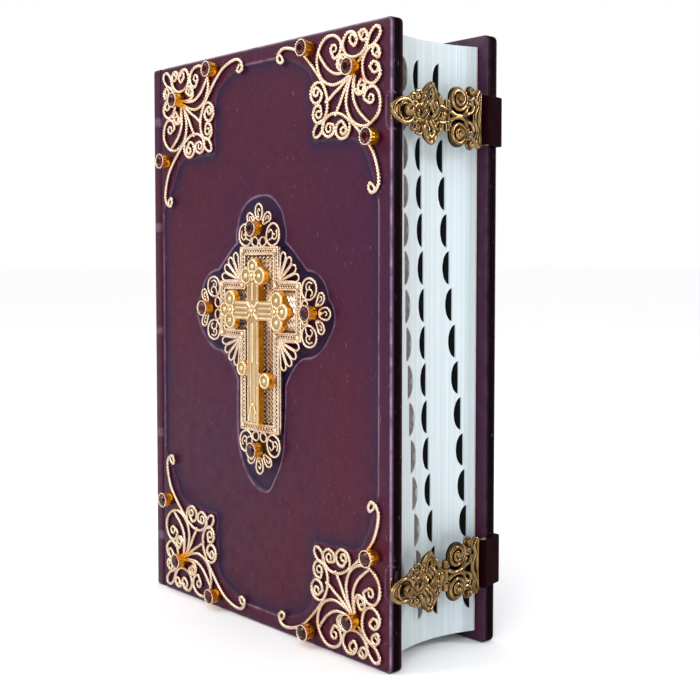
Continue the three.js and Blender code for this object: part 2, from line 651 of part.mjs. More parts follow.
function volutePlate() {
  const face = CLASP_FACE;
  const part = (shape, top = face) => sidePlate(shape, CLASP_BACK, top);
  const [across, high, volute] = [4.6, 7, 5.7]; // the middle of the upper volute, and its radius
  const bar = outline([[14.6, -11.4], [17.4, -11.4], [17.4, 11.4], [14.6, 11.4]]);
  const fleur = outline([[0.6, 0], [5, -2.6], [12, -3.4], [15, -6], [15, 6], [12, 3.4], [5, 2.6]]);
  const sides = [1, -1].flatMap((side) => [
    part(circle(across, side * high, volute)),
    part(circle(across, side * high, volute - 1.8), face + 0.9),
    part(circle(across, side * high, volute - 4), face + 1.6),
    part(circle(11.4, side * 10.3, 1.9), face + 0.8),
    part(outline([[8, side * 9.2], [15, side * 8], [15, side * 11.2]].sort((p, q) => side * (p[1] - q[1])))),
  ]);
  const earTop = STRAP_LOOP + 1.8;
  const ear = (z0, z1) =>
    column(
      outline([[CLASP_BACK, 15], [CLASP_FACE, 15], [CLASP_FACE, STRAP_PIN_Y], [CLASP_BACK, STRAP_PIN_Y]]),
      z0,
      z1,
    ).add(rod(STRAP_PIN_X, STRAP_PIN_Y, 1.5, z0, z1));
  const knuckle = (z0, z1) =>
    rod(HOOK_PIN_X, HOOK_PIN_Y, HOOK_KNUCKLE_RADIUS, z0, z1).add(
      box([CLASP_BACK, HOOK_PIN_Y, z0], [CLASP_BACK + 1.3, 3, z1]),
    );
  const pins = [
    rod(STRAP_PIN_X, STRAP_PIN_Y, PIN_RADIUS, -earTop, earTop),
    rod(HOOK_PIN_X, HOOK_PIN_Y, PIN_RADIUS, -6, 6),
  ];
  return joined([
    part(bar),
    part(fleur),
    ...sides,
    ear(STRAP_LOOP + GAP, earTop),
    ear(-earTop, -STRAP_LOOP - GAP),
    knuckle(3.2, 6),
    knuckle(-6, -3.2),
    ...pins,
  ]);
}

function hookPlate() {
  const half = [
    [-3.6, 3.4], [-5, 8], [-9.6, 12.2], [-14, 8.6], [-17.5, 7.6], [-20.4, 6.4], [-24, 5.4], [-28.4, 3.6],
  ];
  const shape = outline([...half, [HOOK_TIP_Y, 0], ...half.map(([y, z]) => [y, -z]).reverse()]);
  const eyes = [[-9.6, 7.4], [-9.6, -7.4], [-6.6, 0], [-13.2, 0]].map(([y, z]) =>
    sidePlate(circle(y, z, 1.5), CLASP_BACK - 1, CLASP_FACE + 1, 0, 2),
  );
  const sphere = toSolid(new THREE.SphereGeometry(3, 10, 6).translate(CLASP_FACE - 0.4, -24, 0));
  const ball = sphere.intersect(box([CLASP_BACK, -28, -4], [CLASP_FACE + 4, -20, 4]));
  const straps = [1, -1].map((side) => {
    const ribbon = [[-16.4, side * -5.4], [-5.2, side * 5.6], [-6.8, side * 7.2], [-18, side * -3.8]];
    return sidePlate(outline(side > 0 ? ribbon : ribbon.reverse()), CLASP_BACK, CLASP_FACE + 0.8);
  });
  const knuckle = rod(HOOK_PIN_X, HOOK_PIN_Y, HOOK_KNUCKLE_RADIUS, -2.9, 2.9).add(
    box([CLASP_BACK, -5, -2.9], [CLASP_BACK + 1.3, HOOK_PIN_Y, 2.9]),
  );
  const plate = cut(sidePlate(shape, CLASP_BACK, CLASP_FACE, 0.5), eyes);
  const hole = rod(HOOK_PIN_X, HOOK_PIN_Y, PIN_RADIUS + PIN_CLEARANCE, -4, 4);
  return joined([plate, ball, ...straps, knuckle]).subtract(hole);
}

function clasps() {
  const pieces = {
    clasp_strap: [strap(), STRAP_LEATHER],
    clasp_volute_plate: [volutePlate(), BRONZE],
    clasp_hook_plate: [hookPlate(), BRONZE],
  };
  for (const [level, z] of Object.entries(CLASP_LEVELS)) {
    for (const [name, [solid, look]] of Object.entries(pieces)) {
      placeSolid(`${level}_${name}`, solid, look).position.z = z;
    }
  }
}

frontCover();
cover("back_cover", 1, coverSkin());
spine();
pages();
endLeaf("front_flyleaf", -1);
endLeaf("back_flyleaf", 1);
corners();
cross();
clasps();

// The origin goes under the middle of the whole: from the spine's bands to the clasps' relief, and from the
// stones to the straps on the back cover.
const STONE_TOP = PLATE_FACE - GAP - BEZEL_HEIGHT - STONE_CROWN;
const BACK_OF_STRAP = HALF_THICKNESS + GAP + STRAP_THICKNESS;
book.position.set(-(SPINE_APEX + CLASP_FACE + CLASP_RELIEF) / 2, -(STONE_TOP + BACK_OF_STRAP) / 2, 0);

export default book;
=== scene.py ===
"""A leather-bound prayer book with filigree corners, a jewelled cross and two cast clasps.

Shapes are worked out in the book's own frame, in millimetres: X starts at the front joint and grows towards
the fore-edge, Y is zero in the middle of the pages and the front cover is at -Y, and Z is up from the tail.
`mesh_of` moves them into the scene's frame, in metres.
"""

import math
import random

import bmesh
import bpy
import numpy as np
from mathutils import Matrix, Vector


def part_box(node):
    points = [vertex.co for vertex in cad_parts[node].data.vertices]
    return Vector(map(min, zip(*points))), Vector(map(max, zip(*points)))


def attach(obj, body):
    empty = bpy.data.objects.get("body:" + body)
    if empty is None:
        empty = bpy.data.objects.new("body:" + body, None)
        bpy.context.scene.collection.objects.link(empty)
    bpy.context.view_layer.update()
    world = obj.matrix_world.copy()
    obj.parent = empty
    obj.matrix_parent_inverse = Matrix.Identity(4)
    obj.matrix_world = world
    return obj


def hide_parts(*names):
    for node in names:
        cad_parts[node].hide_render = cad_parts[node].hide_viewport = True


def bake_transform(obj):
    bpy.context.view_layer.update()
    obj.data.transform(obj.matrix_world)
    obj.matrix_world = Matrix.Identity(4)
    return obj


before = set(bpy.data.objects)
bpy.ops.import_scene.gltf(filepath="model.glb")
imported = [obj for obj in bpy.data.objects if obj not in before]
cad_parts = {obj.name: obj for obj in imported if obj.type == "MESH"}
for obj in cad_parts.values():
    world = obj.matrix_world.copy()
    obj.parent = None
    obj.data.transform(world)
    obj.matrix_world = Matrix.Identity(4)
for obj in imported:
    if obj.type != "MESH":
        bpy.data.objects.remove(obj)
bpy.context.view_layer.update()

# ---- sizes, in millimetres ----
HEIGHT = 250
BOARD_LEFT = 1.2
BOARD_RIGHT = 160.3
HALF_THICKNESS = 30.2
BOARD_THICKNESS = 6.4
ARRIS = 1.5
INNER_ARRIS = 0.8
BOARD_CORNER = 2.4
TURN_IN = 14
TURN_IN_LEATHER = 0.8
SQUARE = 4.6
PAGES_RIGHT = 155
PAGES_HALF = 22.9
PAGES_FORE_HOLLOW = 4.5
PAGES_BACK_BULGE = 6.5
FIELD_DEPTH = 0.7
FIELD_MARGIN = 7.3
FIELD_MARGIN_JOINT = 2.6
PANEL_DEPTH = 1.0
SPINE_BULGE = 11.4
BAND_COUNT = 5
BAND_RISE = 1.4
BAND_WIDTH = 6
SPINE_END_ROUND = 1.6
JOINT_OUTSIDE = 28.9
JOINT_INSIDE = 28.3
NOTCH_ROWS = 15
NOTCH_TOP = 230.5
NOTCH_PITCH = 14.96
NOTCH_RADIUS = 6.8
NOTCH_DEPTH = 4.4
NOTCH_WIDTH = 3.6
# Which way a column's scoops are cut, and the Y that they follow from the top row to the bottom one.
NOTCH_COLUMNS = [
    (1, [-17.2, -15.7, -11.6, -5.7]),
    (-1, [-6.4, -3.2, -0.2, 5.7]),
    (-1, [5.4, 10.6, 17.3, 21.3]),
]
# Each corner's name, 1 for a left one or -1 for a right one, and 1 for a lower one or -1 for an upper one.
CORNERS = [
    ("lower_left_corner", 1, 1),
    ("lower_right_corner", -1, 1),
    ("upper_left_corner", 1, -1),
    ("upper_right_corner", -1, -1),
]
CORNER_INSET_X = 4.7
CORNER_INSET_Z = 3
# Half the edge of the raised pad under a filigree corner, inwards from the filigree's two straight edges.
PAD_EDGE = [(2.4, 70), (3.2, 63.5), (5.8, 56.5), (8.6, 49.5), (12.6, 43.6), (18, 41.2), (24, 41.6),
            (31, 40.6), (40, 40.8)]
STONE_RADIUS = 2.75
WELD_DISTANCE = 2e-6  # metres
TWIST = 0.13  # how far a twisted wire's strands stand out, as a share of its radius
TWIST_PITCH = 1.3
CROSS_Z = 137.4
PLATE_TOP = 2.2
PLATE_HALF_BAR = 13.5
PLATE_HALF_ARM = 28.5
PLATE_LOW = 85
PLATE_HIGH = 164.7
PLATE_ARM_HALF_HEIGHT = 12.4
CAST_CROSS_THICKNESS = 3.4
CLASP_LEVELS = {"lower": 35, "upper": 215}
CLASP_BACK = BOARD_RIGHT + 0.4
STRAP_HALF_HEIGHT = 9.9
STRAP_ON_BACK = 24
STRAP_PIN = (162.3, 20.4)
HOOK_PIN = (162.0, -2)
GAP = 0.3
WIRE_STEP = 0.17
FLOOR_REACH = 30.0  # metres
CAMERA_AT = (0.38862, -0.32053, 0.15831)  # metres
CAMERA_TURN = math.radians(48.17)
CAMERA_DIP = math.radians(2.73)

MIDDLE_X = (BOARD_LEFT + BOARD_RIGHT) / 2
COVER_FACE = -HALF_THICKNESS
BOARD_INSIDE = HALF_THICKNESS - BOARD_THICKNESS
WIRE_MIDDLE = COVER_FACE - 0.9
PLATE_FACE = COVER_FACE - PLATE_TOP

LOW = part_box("front_cover_leather")[0]
ORIGIN = np.array([LOW.x * 1000 - BOARD_LEFT, LOW.y * 1000 - COVER_FACE, LOW.z * 1000])


def smooth(low, high, value):
    """0 below low, 1 above high, and an even S between them."""
    share = np.clip((np.asarray(value, float) - low) / (high - low), 0, 1)
    return share * share * (3 - 2 * share)


# ---- mesh making ----
class Form:
    """Points and faces that grow piece by piece, in the book's millimetres."""

    def __init__(self):
        self.points = []
        self.faces = []
        self.count = 0

    def add(self, points, faces):
        points = np.asarray(points, float).reshape(-1, 3)
        self.points.append(points)
        self.faces.extend([tuple(i + self.count for i in face) for face in faces])
        self.count += len(points)

    def mesh(self, raised=0):
        return mesh_of(np.concatenate(self.points) + [0, 0, raised], self.faces)


def added(name, data):
    """A new object in the scene."""
    piece = bpy.data.objects.new(name, data)
    bpy.context.scene.collection.objects.link(piece)
    return piece


def wrapped_faces(rings, sides, closed_along=False, capped=False):
    """Quads between rings of `sides` points each, and a flat face over each end where it is capped."""
    faces = []
    for k in range(rings if closed_along else rings - 1):
        a, b = k * sides, ((k + 1) % rings) * sides
        faces += [(a + j, a + (j + 1) % sides, b + (j + 1) % sides, b + j) for j in range(sides)]
    if capped:
        faces += [tuple(range(sides)), tuple(range(rings * sides - 1, (rings - 1) * sides - 1, -1))]
    return faces


def bezier(points, shares):
    """A Bezier curve from its control points, at shares from 0 to 1 of the way along."""
    shares = np.asarray(shares)[:, None]
    rows = [np.array(point, float) for point in points]
    while len(rows) > 1:
        rows = [(1 - shares) * a + shares * b for a, b in zip(rows, rows[1:])]
    return rows[0]


def spline(points, step=0.3, closed=False):
    """A smooth line through the points, with a new point every `step`."""
    pts = np.array(points, float)
    ends = (pts[-1:], pts[:2]) if closed else ([2 * pts[0] - pts[1]], [2 * pts[-1] - pts[-2]])
    pts = np.vstack([ends[0], pts, ends[1]])
    line = []
    for p0, p1, p2, p3 in zip(pts, pts[1:], pts[2:], pts[3:]):
        k0 = 0
        k1 = k0 + max(np.linalg.norm(p1 - p0), 1e-6) ** 0.5
        k2 = k1 + max(np.linalg.norm(p2 - p1), 1e-6) ** 0.5
        k3 = k2 + max(np.linalg.norm(p3 - p2), 1e-6) ** 0.5
        t = np.linspace(k1, k2, 14, endpoint=False)[:, None]
        a1 = (k1 - t) / (k1 - k0) * p0 + (t - k0) / (k1 - k0) * p1
        a2 = (k2 - t) / (k2 - k1) * p1 + (t - k1) / (k2 - k1) * p2
        a3 = (k3 - t) / (k3 - k2) * p2 + (t - k2) / (k3 - k2) * p3
        b1 = (k2 - t) / (k2 - k0) * a1 + (t - k0) / (k2 - k0) * a2
        b2 = (k3 - t) / (k3 - k1) * a2 + (t - k1) / (k3 - k1) * a3
        line.append((k2 - t) / (k2 - k1) * b1 + (t - k1) / (k2 - k1) * b2)
    line = np.vstack([*line, pts[1] if closed else pts[-2]])
    length = np.concatenate([[0], np.cumsum(np.linalg.norm(np.diff(line, axis=0), axis=1))])
    count = max(3, round(length[-1] / step) + 1)
    at = np.linspace(0, length[-1], count)
    if closed:
        at = at[:-1]
    return np.stack([np.interp(at, length, line[:, i]) for i in range(line.shape[1])], axis=1)


def tube(form, path, radius, lift=(0, -1, 0), sides=8, twist=0.0, pitch=TWIST_PITCH, flat=1.0, closed=False):
    """A round bar along `path`. `twist` raises the two strands of a twisted wire on it, `pitch` apart; `flat`
    scales it along `lift`; and `radius` may be one number or one for each point."""
    path = np.asarray(path, float)
    before, after = np.roll(path, 1, axis=0), np.roll(path, -1, axis=0)
    if not closed:
        before[0], after[-1] = path[0], path[-1]
    tangent = after - before
    tangent /= np.linalg.norm(tangent, axis=1)[:, None]
    across = np.cross(tangent, lift)
    across /= np.linalg.norm(across, axis=1)[:, None]
    up = np.cross(across, tangent)
    along = np.concatenate([[0], np.cumsum(np.linalg.norm(np.diff(path, axis=0), axis=1))])
    angle = np.arange(sides) * 2 * math.pi / sides
    ridge = 1 + twist * np.cos(2 * angle[None, :] - 2 * math.pi * along[:, None] / pitch)
    reach = np.broadcast_to(np.asarray(radius, float), len(path))
    size = (reach[:, None] * ridge)[..., None]
    ring = np.cos(angle)[None, :, None] * across[:, None] + flat * np.sin(angle)[None, :, None] * up[:, None]
    points = (path[:, None] + size * ring).reshape(-1, 3)
    faces = wrapped_faces(len(path), sides, closed)
    if closed:
        form.add(points, faces)
        return
    last = len(points)
    tips = [path[0] - tangent[0] * reach[0] * 0.6, path[-1] + tangent[-1] * reach[-1] * 0.6]
    start = [(j, last, (j + 1) % sides) for j in range(sides)]
    end = [(last - sides + j, last - sides + (j + 1) % sides, last + 1) for j in range(sides)]
    form.add(np.vstack([points, tips]), faces + start + end)


def ball(form, centre, radius, flat=(1, 1, 1), rings=8, sides=12):
    points = [[0, 0, -1]]
    for k in range(1, rings):
        tilt = math.pi * k / rings
        for j in range(sides):
            turn = 2 * math.pi * j / sides
            points.append([math.sin(tilt) * math.cos(turn), math.sin(tilt) * math.sin(turn), -math.cos(tilt)])
    points.append([0, 0, 1])
    faces = [tuple(1 + i for i in face) for face in wrapped_faces(rings - 1, sides)]
    top = len(points) - 1
    faces += [(0, 1 + (j + 1) % sides, 1 + j) for j in range(sides)]
    faces += [(top, top - sides + j, top - sides + (j + 1) % sides) for j in range(sides)]
    form.add(np.array(points) * radius * np.array(flat) + centre, faces)


def prism(form, outline, low, high, axis=1):
    """An outline extruded along one axis; its points give the other two, in X, Y, Z order."""
    outline = np.asarray(outline, float)
    count = len(outline)
    points = np.vstack([np.insert(outline, axis, level, axis=1) for level in (low, high)])
    sides = [(j, (j + 1) % count, count + (j + 1) % count, count + j) for j in range(count)]
    form.add(points, [tuple(range(count)), tuple(range(2 * count - 1, count - 1, -1)), *sides])


def arc(centre, radius, start, end, count=16, squash=1.0):
    turn = np.radians(np.linspace(start, end, count))
    return np.stack([centre[0] + radius * np.cos(turn), centre[1] + squash * radius * np.sin(turn)], axis=1)


def spiral(centre, outer, inner, start, sweep, count=30):
    """A flat scroll that winds inwards."""
    share = np.linspace(0, 1, count)
    turn = np.radians(start + sweep * share)
    radius = outer + (inner - outer) * share
    return np.stack([centre[0] + radius * np.cos(turn), centre[1] + radius * np.sin(turn)], axis=1)


def turned(points, root, angle):
    """Flat points turned by `angle` degrees and moved from the origin to `root`."""
    points = np.asarray(points, float)
    turn = math.radians(angle)
    u, v = points[:, 0], points[:, 1]
    return np.stack([root[0] + u * math.cos(turn) - v * math.sin(turn),
                     root[1] + u * math.sin(turn) + v * math.cos(turn)], axis=1)


def on_front(points, y):
    """Flat (x, z) points at a height y in front of the cover."""
    points = np.asarray(points, float)
    return np.stack([points[:, 0], np.broadcast_to(y, len(points)), points[:, 1]], axis=1)


def mesh_of(points, faces, tones=None):
    """A mesh from points in the book's millimetres. Tones are each point's two shares for leather: one that
    darkens it, partly with painted shade, and one that pales it, partly with painted highlights; points in
    one place are then welded."""
    mesh = bpy.data.meshes.new("form")
    mesh.from_pydata(((np.asarray(points) + ORIGIN) / 1000).tolist(), [], faces)
    if tones is not None:
        paint(mesh, "antique_and_shade", tones[:, 0])
        paint(mesh, "wear_and_highlight", tones[:, 1])
    work = bmesh.new()
    work.from_mesh(mesh)
    if tones is not None:
        bmesh.ops.remove_doubles(work, verts=work.verts, dist=WELD_DISTANCE)
    bmesh.ops.recalc_face_normals(work, faces=work.faces)
    work.to_mesh(mesh)
    work.free()
    return mesh


def place(name, mesh, materials, body, slot, replaces=(), smooth_shading=True, matrix=Matrix()):
    """The mesh as a visible piece that rides on a body and stands for CAD nodes."""
    piece = added(name, mesh)
    piece.matrix_world = matrix
    mesh.name = name
    if not mesh.materials:
        for material in materials:
            mesh.materials.append(material)
    mesh.polygons.foreach_set("use_smooth", [smooth_shading] * len(mesh.polygons))
    if body:
        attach(piece, body)
    if replaces:
        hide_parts(*replaces)
    return piece


def dress(node, material):
    """Gives a CAD node that stays visible its material."""
    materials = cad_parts[node].data.materials
    materials.clear()
    materials.append(material)


def evaluated(mesh, *modifiers):
    """A copy of the mesh with modifiers applied; each is (type, settings)."""
    carrier = added("carrier", mesh)
    for kind, settings in modifiers:
        modifier = carrier.modifiers.new(kind.lower(), kind)
        for key, value in settings.items():
            setattr(modifier, key, value)
    bpy.context.view_layer.update()
    graph = bpy.context.evaluated_depsgraph_get()
    made = bpy.data.meshes.new_from_object(carrier.evaluated_get(graph))
    bpy.data.objects.remove(carrier)
    return made


def cast(form, voxel, rounds=2):
    """The form's overlapping bars and balls melted into one cast surface."""
    melted = ("REMESH", {"mode": "VOXEL", "voxel_size": voxel / 1000, "adaptivity": 0.0})
    return evaluated(form.mesh(), melted, ("SMOOTH", {"factor": 0.5, "iterations": rounds}))


def points_of(mesh):
    """The mesh's vertices in the book's millimetres."""
    flat = np.zeros(len(mesh.vertices) * 3)
    mesh.vertices.foreach_get("co", flat)
    return flat.reshape(-1, 3) * 1000 - ORIGIN


def paint(mesh, name, values):
    layer = mesh.attributes.new(name, "FLOAT", "POINT")
    layer.data.foreach_set("value", np.asarray(values, np.float32))


# ---- materials ----
def srgb(red, green, blue):
    """A linear colour from 0-255 values."""
    return tuple((v / 255) ** 2.2 for v in (red, green, blue)) + (1.0,)


class Look:
    """A material's node tree, with short ways to add what the looks below share."""

    def __init__(self, name, **settings):
        self.material = bpy.data.materials.new(name)
        self.material.use_nodes = True
        self.tree = self.material.node_tree
        self.shader = self.tree.nodes["Principled BSDF"]
        self.spot = self.add("ShaderNodeTexCoord").outputs["Object"]
        for key, value in settings.items():
            self.shader.inputs[key.replace("_", " ")].default_value = value

    def add(self, kind, inputs=None, **properties):
        node = self.tree.nodes.new(kind)
        for key, value in properties.items():
            setattr(node, key, value)
        for key, value in (inputs or {}).items():
            if isinstance(value, bpy.types.NodeSocket):
                self.tree.links.new(value, node.inputs[key])
            else:
                node.inputs[key].default_value = value
        return node

    def noise(self, scale, detail=3.0, stretch=(1, 1, 1), roughness=0.5):
        """Noise with features about 1/scale metres across, longer where stretch is small."""
        moved = self.add("ShaderNodeVectorMath", {0: self.spot, 1: stretch}, operation="MULTIPLY")
        inputs = {"Vector": moved.outputs[0], "Scale": scale, "Detail": detail, "Roughness": roughness}
        return self.add("ShaderNodeTexNoise", inputs).outputs["Fac"]

    def waves(self, scale, distortion=0.0, **properties):
        inputs = {"Vector": self.spot, "Scale": scale, "Distortion": distortion}
        return self.add("ShaderNodeTexWave", inputs, **properties).outputs["Fac"]

    def cells(self, scale):
        inputs = {"Vector": self.spot, "Scale": scale}
        return self.add("ShaderNodeTexVoronoi", inputs, feature="SMOOTH_F1").outputs["Distance"]

    def attribute(self, name):
        return self.add("ShaderNodeAttribute", attribute_name=name).outputs["Fac"]

    def span(self, value, low, high, to_low=0.0, to_high=1.0):
        inputs = {0: value, 1: low, 2: high, 3: to_low, 4: to_high}
        return self.add("ShaderNodeMapRange", inputs).outputs[0]

    def math(self, operation, a, b=0.0):
        return self.add("ShaderNodeMath", {0: a, 1: b}, operation=operation).outputs[0]

    def mix(self, share, a, b, blend="MIX"):
        inputs = {0: share, 6: a, 7: b}
        return self.add("ShaderNodeMix", inputs, data_type="RGBA", blend_type=blend).outputs[2]

    def set(self, name, value):
        self.tree.links.new(value, self.shader.inputs[name])

    def bump(self, height, strength, distance, below=None):
        inputs = {"Height": height, "Strength": strength, "Distance": distance}
        if below is not None:
            inputs["Normal"] = below
        return self.add("ShaderNodeBump", inputs).outputs[0]


def leather(name, base, warm, dark, wear_and_highlight, roughness=0.46, shine=0.2):
    """Dyed calfskin: cloudy colour, fine pores, pale rubbed specks, darker where its first share is painted,
    which is partly antiquing and partly painted shade, and paler where its second is, which is partly rubbed
    wear and partly painted highlight."""
    look = Look(name, Specular_IOR_Level=shine)
    clouds = look.span(look.noise(16, 5.0, (1, 1, 0.55)), 0.36, 0.66)
    colour = look.mix(clouds, base, warm)
    mottle = look.span(look.noise(420, 4.0), 0.3, 0.72, 0.8, 1.18)
    colour = look.mix(1.0, colour, mottle, "MULTIPLY")
    patches = look.span(look.noise(60, 4.0), 0.25, 0.6, 0.75, 1.05)
    colour = look.mix(look.math("MULTIPLY", look.attribute("antique_and_shade"), patches), colour, dark)
    specks = look.span(look.noise(900, 2.0, (1, 1, 0.35)), 0.69, 0.76, 0.0, 0.2)
    colour = look.mix(specks, colour, wear_and_highlight)
    breakup = look.span(look.noise(240, 4.0), 0.3, 0.62, 0.25, 0.9)
    colour = look.mix(look.math("MULTIPLY", look.attribute("wear_and_highlight"), breakup), colour, wear_and_highlight)
    look.set("Base Color", colour)
    look.set("Roughness", look.span(look.noise(150, 4.0), 0.3, 0.7, roughness - 0.08, roughness + 0.12))
    pores = look.bump(look.cells(1500), 0.22, 0.00012)
    creases = look.bump(look.noise(260, 6.0, (1, 1, 0.6)), 0.3, 0.0003, pores)
    look.set("Normal", creases)
    return look.material


def metal(name, bright, dull, roughness, recess_colour=None, grain=2600, bump=0.12):
    """Plated or cast metal: soft polish, dull cloudy patches, and, where a recess colour is given, darkening
    in its hollows and half as much on its flats, which is partly tarnish and partly painted shade.
    """
    look = Look(name, Metallic=1.0)
    clouds = look.span(look.noise(260, 4.0), 0.35, 0.7)
    colour = look.mix(clouds, bright, dull)
    if recess_colour:
        # Painted shade with tarnish: darker where the surface curves inwards or the recess share is painted.
        hollow = look.span(look.add("ShaderNodeNewGeometry").outputs["Pointiness"], 0.466, 0.534, 1.0, 0.0)
        deep = look.math("MAXIMUM", hollow, look.attribute("recess"))
        colour = look.mix(deep, colour, recess_colour)
        look.set("Roughness", look.span(deep, 0.0, 1.0, roughness, roughness + 0.2))
    else:
        look.set("Roughness", look.span(look.noise(700, 3.0), 0.3, 0.7, roughness - 0.06, roughness + 0.1))
    look.set("Base Color", colour)
    look.set("Normal", look.bump(look.noise(grain, 3.0), bump, 0.00008))
    return look.material


def paper(name, tone, shade, front_board_shadow, lines=5200, strength=0.5):
    """A stack of page edges: fine lines that follow the pages, and a painted shadow of the front board that
    greys them towards the front and fades towards the back.
    """
    look = Look(name, Roughness=0.78, Specular_IOR_Level=0.25)
    edges = look.noise(1, 4.0, (3, lines, 3), 0.65)
    sections = look.noise(1, 2.0, (2, 420, 2))
    colour = look.mix(look.span(edges, 0.32, 0.62), shade, tone)
    colour = look.mix(look.span(sections, 0.3, 0.7, 0.0, 0.35), colour, shade)
    # Painted shadow: the edges are mixed towards a darker grey nearer the front cover, where the front board
    # shades them.
    across = look.add("ShaderNodeSeparateXYZ", {0: look.spot}).outputs["Y"]
    front, back = ((y + ORIGIN[1]) / 1000 for y in (-PAGES_HALF, PAGES_HALF * 0.8))
    colour = look.mix(look.span(across, front, back, 0.5, 0.0), colour, front_board_shadow)
    look.set("Base Color", colour)
    look.set("Normal", look.bump(edges, strength, 0.0002))
    return look.material


def sheet_paper(name, tone, shade):
    look = Look(name, Roughness=0.85, Specular_IOR_Level=0.2)
    fibres = look.noise(900, 5.0, (1, 1, 0.3))
    look.set("Base Color", look.mix(look.span(fibres, 0.3, 0.7), shade, tone))
    look.set("Normal", look.bump(look.noise(2200, 4.0), 0.25, 0.0001))
    return look.material


def woven(name, tone, shade, scale):
    look = Look(name, Roughness=0.9, Sheen_Weight=0.2)
    weave = look.waves(scale, 1.5)
    look.set("Base Color", look.mix(weave, shade, tone))
    look.set("Normal", look.bump(weave, 0.5, 0.0003))
    return look.material


def silk_stripes(name, first, second):
    """Sewn silk in two colours, wound round a core."""
    look = Look(name, Roughness=0.4, Sheen_Weight=0.3)
    stripes = look.waves(130.0, 0.3, bands_direction="Y")
    look.set("Base Color", look.mix(look.span(stripes, 0.45, 0.55), first, second))
    look.set("Normal", look.bump(look.waves(900.0, bands_direction="Y"), 0.6, 0.0002))
    return look.material


def garnet_glass(name):
    """Dark red stone; some of its facets are painted a glowing red, which stands in for light passing through
    the stone.
    """
    look = Look(name, Roughness=0.06, Specular_IOR_Level=0.35, IOR=1.5)
    glow_breakup = look.span(look.noise(500, 2.0), 0.3, 0.7, 0.7, 1.1)
    glow = look.math("MULTIPLY", look.attribute("painted_facet_light"), glow_breakup)
    look.set("Base Color", look.mix(glow, srgb(14, 1, 5), srgb(170, 8, 26)))
    return look.material


# Pale lilac for rubbed wear and for painted highlights.
LILAC = srgb(176, 138, 160)
BURGUNDY = leather("burgundy_calfskin", srgb(62, 19, 46), srgb(72, 19, 38), srgb(30, 20, 52), LILAC)
# A darker copy of the calfskin for the boards' sides: darker edge leather, with painted shade for sides that
# face away from the light.
SHADED_EDGE_BURGUNDY = leather("burgundy_calfskin_shaded_edges", srgb(30, 6, 13), srgb(36, 7, 13), srgb(17, 4, 9), LILAC,
                        0.5, 0.015)
STRAP_LEATHER = leather("strap_leather_dark", srgb(27, 6, 12), srgb(30, 7, 12), srgb(17, 5, 9),
                        srgb(60, 34, 46), 0.6, 0.015)
FILIGREE = metal("rose_gold_filigree", srgb(234, 210, 186), srgb(208, 180, 152), 0.26)
CAST_GOLD = metal("pale_cast_gold", srgb(252, 232, 188), srgb(236, 206, 154), 0.22, srgb(140, 94, 46))
ORANGE_GOLD = metal("orange_gold_sides", srgb(255, 190, 62), srgb(240, 152, 34), 0.3)
BRONZE = metal("antique_bronze", srgb(172, 140, 96), srgb(112, 84, 50), 0.15, srgb(15, 8, 5), bump=0.04)
PAGES = paper("page_edges", srgb(218, 228, 231), srgb(174, 187, 193), srgb(164, 166, 160))
ENDPAPER = sheet_paper("cream_endpaper", srgb(240, 230, 208), srgb(226, 212, 184))
CARD = sheet_paper("binders_board", srgb(158, 134, 104), srgb(128, 106, 80))
TAB_BLACK = sheet_paper("black_tab_paper", srgb(16, 16, 20), srgb(8, 8, 11))
# Grey for the first column's notch walls: painted shade in the pockets, with some dirt.
SHADED_CUT_GREY = sheet_paper("cut_paper_painted_shade", srgb(150, 144, 138), srgb(122, 114, 108))
LINEN = woven("unbleached_linen", srgb(214, 204, 182), srgb(182, 170, 146), 900.0)
SILK = silk_stripes("headband_silk_stripes", srgb(150, 30, 46), srgb(232, 222, 200))
GARNET = garnet_glass("garnet_glass")

# ---- covers ----
# One half of the lobed panel's edge before its right side is narrowed, from its top to its foot: each curve
# goes on from the end of the last one, and its points are (x out from the book's middle, z).
PANEL_CURVES = [
    [(11, 186), (17, 180), (17.4, 174)],
    [(19.2, 171), (18.6, 168), (18, 166)],
    [(22, 164), (28, 158), (32.7, 154)],
    [(40, 154), (45, 149), (45.6, 143)],
    [(50.6, 139), (50.6, 133), (46.5, 128.5)],
    [(44, 124), (38, 119), (32.7, 119)],
    [(27, 119), (21, 112), (18.2, 106)],
    [(18.6, 98), (18.6, 90), (18.2, 80)],
    [(17, 70), (10, 59.7), (0, 59.3)],
]


def panel_outline():
    """The lobed panel around the cross, as a closed run of (x, z) points; its right side is narrower."""
    start = (0, 186)
    half = []
    for curve in PANEL_CURVES:
        half.append(bezier([start, *curve], np.linspace(0, 1, 10, endpoint=False)))
        start = curve[-1]
    half = np.vstack([*half, [start]])
    other = half[-2:0:-1] * [-1, 1]
    half[:, 0] -= (3.6 + 1.6 * smooth(-110, -80, -half[:, 1])) * smooth(0, 14, half[:, 0])
    return np.vstack([half, other]) + [MIDDLE_X, 0]


def inside_distance(x, z, outline):
    """How far each point is inside a closed outline, negative outside it."""
    nearest = np.full(x.shape, 1e9)
    inside = np.zeros(x.shape, bool)
    for (ax, az), (bx, bz) in zip(outline, np.roll(outline, -1, axis=0)):
        run, rise = bx - ax, bz - az
        share = np.clip(((x - ax) * run + (z - az) * rise) / (run * run + rise * rise), 0, 1)
        nearest = np.minimum(nearest, np.hypot(x - ax - share * run, z - az - share * rise))
        if bz != az:
            inside ^= ((az > z) != (bz > z)) & (x < (bx - ax) * (z - az) / (bz - az) + ax)
    return np.where(inside, nearest, -nearest)


